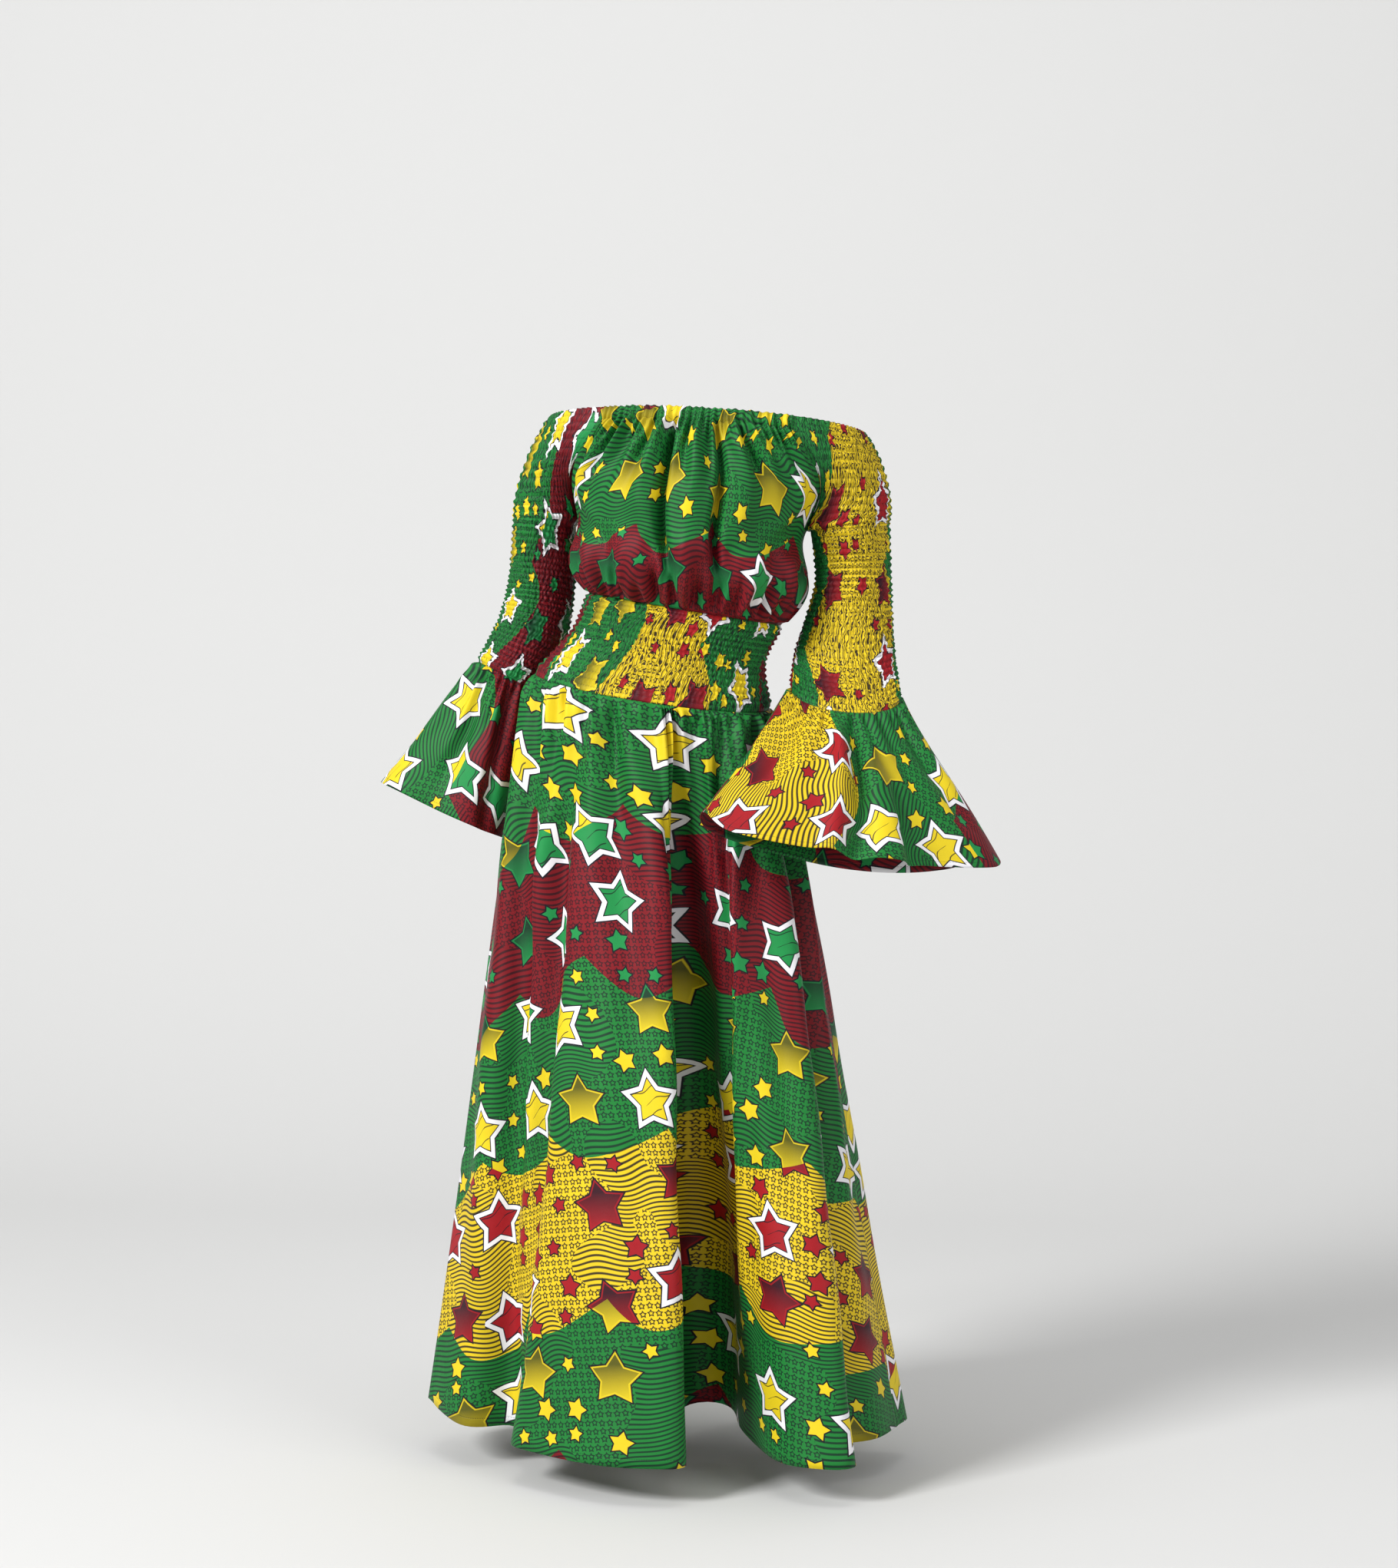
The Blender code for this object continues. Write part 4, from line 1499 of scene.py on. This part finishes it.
FRONT_GATHERS = table(
    Crease,
    (0.415, 0.085, 0.02, 0.95, 0.0048, -0.0280),
    (0.610, 0.005, 0.02, 1.00, 0.0048, -0.0280),
    (0.515, 0.045, 0.06, 0.86, 0.0150, 0.0110),
    (0.365, 0.055, 0.07, 0.66, 0.0110, 0.0085),
    (0.665, 0.015, 0.07, 0.70, 0.0110, 0.0085),
    (0.480, 0.040, 0.07, 0.45, 0.0045, -0.0050),
    (0.560, 0.020, 0.07, 0.40, 0.0045, -0.0045),
    (0.310, 0.020, 0.07, 0.33, 0.0070, -0.0065),
    (0.230, -0.010, 0.07, 0.38, 0.0070, -0.0055),
    (0.155, -0.020, 0.07, 0.42, 0.0080, -0.0060),
    (0.195, -0.010, 0.07, 0.30, 0.0060, 0.0045),
    (0.720, 0.010, 0.07, 0.36, 0.0070, -0.0065),
    (0.790, 0.020, 0.07, 0.30, 0.0060, 0.0050),
    (0.850, 0.020, 0.07, 0.44, 0.0080, -0.0060),
    (0.910, -0.140, 0.26, 0.62, 0.0110, 0.0060),
    (0.100, 0.170, 0.28, 0.62, 0.0110, 0.0060),
    (0.140, 0.060, 0.62, 1.02, 0.0080, -0.0070),
    (0.210, 0.040, 0.66, 1.02, 0.0080, 0.0060),
    (0.280, 0.040, 0.58, 1.02, 0.0085, -0.0080),
    (0.360, 0.030, 0.66, 1.02, 0.0080, 0.0065),
    (0.440, 0.010, 0.60, 1.02, 0.0080, -0.0085),
    (0.530, 0.000, 0.62, 1.02, 0.0080, 0.0070),
    (0.580, -0.010, 0.70, 1.02, 0.0070, -0.0070),
    (0.660, -0.030, 0.62, 1.02, 0.0085, -0.0080),
    (0.740, -0.040, 0.66, 1.02, 0.0080, 0.0065),
    (0.810, -0.050, 0.60, 1.02, 0.0085, -0.0075),
    (0.870, -0.050, 0.66, 1.02, 0.0080, 0.0055),
)
BACK_GATHERS = table(
    Crease,
    (0.500, -0.020, 0.05, 0.66, 0.0080, -0.0110),
    (0.440, -0.020, 0.07, 0.46, 0.0070, 0.0060),
    (0.370, -0.030, 0.07, 0.42, 0.0075, -0.0075),
    (0.280, -0.030, 0.07, 0.34, 0.0070, 0.0055),
    (0.190, -0.020, 0.07, 0.38, 0.0075, -0.0065),
    (0.570, 0.020, 0.07, 0.50, 0.0075, 0.0065),
    (0.640, 0.030, 0.07, 0.44, 0.0075, -0.0080),
    (0.740, 0.030, 0.07, 0.32, 0.0070, 0.0050),
    (0.830, 0.020, 0.07, 0.36, 0.0075, -0.0060),
    (0.260, 0.040, 0.62, 1.02, 0.0085, -0.0075),
    (0.350, 0.030, 0.66, 1.02, 0.0080, 0.0060),
    (0.450, 0.010, 0.60, 1.02, 0.0085, -0.0080),
    (0.550, -0.010, 0.64, 1.02, 0.0085, 0.0065),
    (0.640, -0.030, 0.62, 1.02, 0.0085, -0.0075),
    (0.740, -0.040, 0.66, 1.02, 0.0085, 0.0060),
)
SKIRT_FRONT_CREASES = table(
    Crease,
    (0.060, 0.010, 0.00, 0.90, 0.016, 0.0100),
    (0.125, -0.010, 0.00, 0.70, 0.016, -0.0100),
    (0.238, -0.110, 0.03, 1.30, 0.024, -0.0300),
    (0.275, -0.110, 0.03, 1.30, 0.013, 0.0100),
    (0.335, 0.005, 0.00, 0.36, 0.013, -0.0105),
    (0.360, 0.010, 0.10, 0.80, 0.015, -0.0060),
    (0.395, 0.000, 0.01, 1.30, 0.012, 0.0090),
    (0.560, 0.000, 0.00, 1.25, 0.030, -0.0330),
    (0.690, -0.070, 0.00, 0.90, 0.014, -0.0160),
    (0.735, -0.075, 0.00, 0.95, 0.011, 0.0120),
    (0.770, 0.020, 0.10, 0.75, 0.014, -0.0090),
    (0.830, 0.000, 0.02, 1.20, 0.016, 0.0100),
    (0.885, 0.000, 0.02, 1.30, 0.022, -0.0260),
    (0.945, 0.010, 0.02, 0.90, 0.014, 0.0090),
)
SKIRT_BACK_CREASES = table(
    Crease,
    (0.080, 0.020, 0.02, 0.90, 0.018, -0.0150),
    (0.170, 0.010, 0.00, 0.70, 0.016, 0.0090),
    (0.230, 0.015, 0.00, 0.50, 0.015, -0.0120),
    (0.300, 0.010, 0.04, 1.20, 0.020, -0.0170),
    (0.390, 0.010, 0.00, 0.60, 0.015, 0.0090),
    (0.450, 0.000, 0.00, 0.45, 0.013, -0.0110),
    (0.510, 0.000, 0.02, 1.10, 0.020, -0.0150),
    (0.580, -0.010, 0.00, 0.65, 0.015, 0.0090),
    (0.680, -0.015, 0.03, 1.20, 0.020, -0.0170),
    (0.750, -0.010, 0.00, 0.50, 0.014, -0.0110),
    (0.800, -0.020, 0.00, 0.70, 0.016, 0.0090),
    (0.910, -0.010, 0.04, 0.90, 0.016, -0.0130),
)
LEFT_CUFF_CREASES = table(
    Crease,
    (0.242, -0.020, -0.02, 1.30, 0.009, -0.0230),
    (0.207, -0.010, -0.02, 1.30, 0.010, 0.0120),
    (0.300, -0.010, 0.40, 1.60, 0.009, -0.0110),
    (0.330, 0.020, 0.00, 0.70, 0.013, -0.0070),
    (0.095, -0.020, 0.00, 0.85, 0.014, -0.0085),
    (0.400, 0.020, 0.00, 0.90, 0.014, -0.0085),
    (0.620, 0.000, 0.00, 0.90, 0.016, -0.0100),
    (0.820, 0.010, 0.00, 0.90, 0.016, -0.0090),
)
RIGHT_CUFF_CREASES = table(
    Crease,
    (0.800, 0.010, -0.02, 1.20, 0.012, -0.0130),
    (0.690, -0.010, 0.00, 0.90, 0.014, -0.0090),
    (0.580, -0.010, 0.00, 0.80, 0.014, 0.0070),
    (0.910, 0.010, 0.00, 0.90, 0.014, -0.0080),
    (0.400, 0.000, 0.00, 0.90, 0.016, -0.0090),
    (0.200, 0.000, 0.00, 0.85, 0.016, -0.0080),
)


@dataclass(frozen=True)
class Lamp:
    """A soft square lamp: its name, where it hangs, its watts and its side in metres."""

    name: str
    place: tuple[float, float, float]
    power: float
    size: float


LAMPS = table(
    Lamp,
    ("key", (-4.2, -5.2, 3.4), 640.0, 2.2),
    ("fill", (5.6, -4.6, 1.6), 170.0, 3.6),
    ("top", (0.0, -0.6, 4.2), 60.0, 2.6),
)


@dataclass
class Studio:
    """The floor, the light and the camera."""

    floor_height: float = -1.42
    floor_reach: float = 9.0
    floor_front: float = -6.0
    floor_run: float = 14.0
    bend_start: float = 2.2
    bend_radius: float = 1.9
    paper: RGBA = (0.66, 0.66, 0.655, 1)
    sky: float = 0.39
    aim: tuple[float, float, float] = (0.0, 0.0, -0.7)
    camera_turn: float = 8.0
    camera_distance: float = 3.90
    camera_height: float = -0.49
    camera_shift: float = -0.011
    lens: float = 65.18
    sensor: float = 36.0

    def build(self) -> None:
        """Lays the floor, sets the light and places the camera."""
        self.lay_floor()
        self.light()
        self.place_camera()

    def lay_floor(self) -> None:
        """A pale floor that curves up into a pale backdrop."""
        data = grid_mesh("floor", 2, 48, 1.0)
        for vertex in data.vertices:
            run = (vertex.co.y + 1) / 2 * self.floor_run + self.floor_front
            turn = min(max((run - self.bend_start) / self.bend_radius, 0.0), math.pi / 2)
            above = max(run - self.bend_start - self.bend_radius * math.pi / 2, 0.0)
            vertex.co.x *= self.floor_reach
            vertex.co.y = min(run, self.bend_start) + self.bend_radius * math.sin(turn)
            vertex.co.z = self.floor_height + self.bend_radius * (1 - math.cos(turn)) + above
        data.shade_smooth()
        material = bpy.data.materials.new("floor_paper")
        material.use_nodes = True
        shader = material.node_tree.nodes["Principled BSDF"]
        shader.inputs["Base Color"].default_value = self.paper
        shader.inputs["Roughness"].default_value = 0.85
        data.materials.append(material)
        floor = placed("floor", data)

    def light(self) -> None:
        """Soft studio light from the front and both sides."""
        world = bpy.data.worlds.new("studio")
        world.use_nodes = True
        world.node_tree.nodes["Background"].inputs["Color"].default_value = (1.0, 1.0, 1.0, 1)
        world.node_tree.nodes["Background"].inputs["Strength"].default_value = self.sky
        bpy.context.scene.world = world
        for lamp in LAMPS:
            data = bpy.data.lights.new(lamp.name, "AREA")
            data.energy = lamp.power
            data.size = lamp.size
            hung = placed(lamp.name, data)
            hung.location = lamp.place
            aim = Vector(self.aim) - Vector(lamp.place)
            hung.rotation_euler = aim.to_track_quat("-Z", "Y").to_euler()

    def place_camera(self) -> None:
        """Puts the camera at the photograph's angle, level with the thighs."""
        turn = Matrix.Rotation(math.radians(self.camera_turn), 3, "Z")
        data = bpy.data.cameras.new("camera")
        data.lens = self.lens
        data.sensor_width = self.sensor
        camera = placed("camera", data)
        camera.location = turn @ Vector((self.camera_shift, -self.camera_distance, self.camera_height))
        camera.rotation_euler = (math.radians(90), 0.0, math.radians(self.camera_turn))
        bpy.context.scene.camera = camera


def dress_pieces() -> list[ClothPiece]:
    """The dress's pieces, from the neckline down.

    Returns:
        The pieces, not yet built.
    """
    left_arm, right_arm = RingStack(LEFT_SLEEVE_RINGS), RingStack(RIGHT_SLEEVE_RINGS)
    left_bell, right_bell = RingStack(LEFT_BELL_RINGS), RingStack(RIGHT_BELL_RINGS)
    elastic = ShirredPiece.row_spacing
    return [
        BodicePanel(
            "bodice_front_cloth", ("bodice_front",),
            Cotton("bodice_front_print", Grain.DOWN, (0.31, 0.02), (0.03, 0.717), hem=0.2802),
            210, 104, (0.60, 0.30), 0.60, facing=Facing.FRONT, creases=FRONT_GATHERS,
            sewn=(0.0, 0.030),
        ),
        BodicePanel(
            "bodice_back_cloth", ("bodice_back",),
            Cotton("bodice_back_print", Grain.DOWN, (1.73, 0.52), (0.11, 0.717), hem=0.2709),
            210, 104, (0.54, 0.29), 0.56, facing=Facing.BACK, creases=BACK_GATHERS, seed=17,
            sewn=(0.0, 0.030),
        ),
        Waistband(
            "waistband_cloth", ("waistband",),
            Cotton("waistband_print", Grain.ACROSS, (0.15, 0.66), (0.05, 0.108), elastic=elastic),
            640, 72, (1.20, 0.14), 1.62, closed=True, sewn=(0.045, 0.045),
        ),
        SkirtPanel(
            "skirt_front_cloth", ("skirt_front",),
            Cotton("skirt_front_print", Grain.DOWN, (0.47, 1.20), (0.02, -0.105), hem=0.012),
            190, 118, (1.48, 1.08), cut_area=1.03, facing=Facing.FRONT, folds=FRONT_FOLDS,
            creases=SKIRT_FRONT_CREASES, sewn=(0.006, 0.0), held="hung",
        ),
        SkirtPanel(
            "skirt_back_cloth", ("skirt_back",),
            Cotton("skirt_back_print", Grain.DOWN, (2.41, 3.10), (0.09, -0.105), hem=0.012),
            190, 118, (1.48, 1.08), cut_area=1.03, facing=Facing.BACK, folds=BACK_FOLDS,
            creases=SKIRT_BACK_CREASES, sewn=(0.006, 0.0), held="hung", seed=37,
        ),
        Sleeve(
            "sleeve_left_cloth", ("sleeve_left",),
            Cotton("sleeve_left_print", Grain.ACROSS, (0.05, 2.30), (0.04, 0.726), elastic=elastic),
            264, 166, (0.50, 0.41), 0.66, side=Side.LEFT, stack=left_arm, sewn=(0.0, 0.016), seed=61,
        ),
        Sleeve(
            "sleeve_right_cloth", ("sleeve_right",),
            Cotton(
                "sleeve_right_print", Grain.ACROSS, (0.35, 4.10), (0.0, -0.164), tilt=12.0, elastic=elastic,
            ),
            264, 166, (0.46, 0.40), 0.66, side=Side.RIGHT, stack=right_arm, sewn=(0.0, 0.016), seed=71,
        ),
        BellCuff(
            "bell_cuff_left_cloth", ("bell_cuff_left",),
            Cotton("bell_cuff_left_print", Grain.ACROSS, (0.12, 5.20), (0.0, 0.703), hem=0.012),
            200, 60, (0.85, 0.39), cut_area=0.20, side=Side.LEFT, stack=left_bell,
            waves=LEFT_BELL_WAVES, creases=LEFT_CUFF_CREASES, sewn=(0.025, 0.0), radial=0.212,
            closed=True, held="hung",
        ),
        BellCuff(
            "bell_cuff_right_cloth", ("bell_cuff_right",),
            Cotton("bell_cuff_right_print", Grain.ACROSS, (0.62, 6.40), (0.0, 0.06), hem=0.012),
            180, 56, (0.63, 0.29), cut_area=0.116, side=Side.RIGHT, stack=right_bell,
            waves=RIGHT_BELL_WAVES, creases=RIGHT_CUFF_CREASES, sector=1.7, length=0.22,
            radial=0.750, sewn=(0.025, 0.0), closed=True, held="hung", seed=57,
        ),
    ]


def main() -> None:
    """Builds the studio and the dress."""
    logging.basicConfig(level=logging.INFO)
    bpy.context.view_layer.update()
    Studio().build()
    bpy.context.scene.view_settings.view_transform = "Standard"
    wax = WaxPrint()
    for piece in dress_pieces():
        piece.build(wax)


if __name__ == "__main__":
    main()
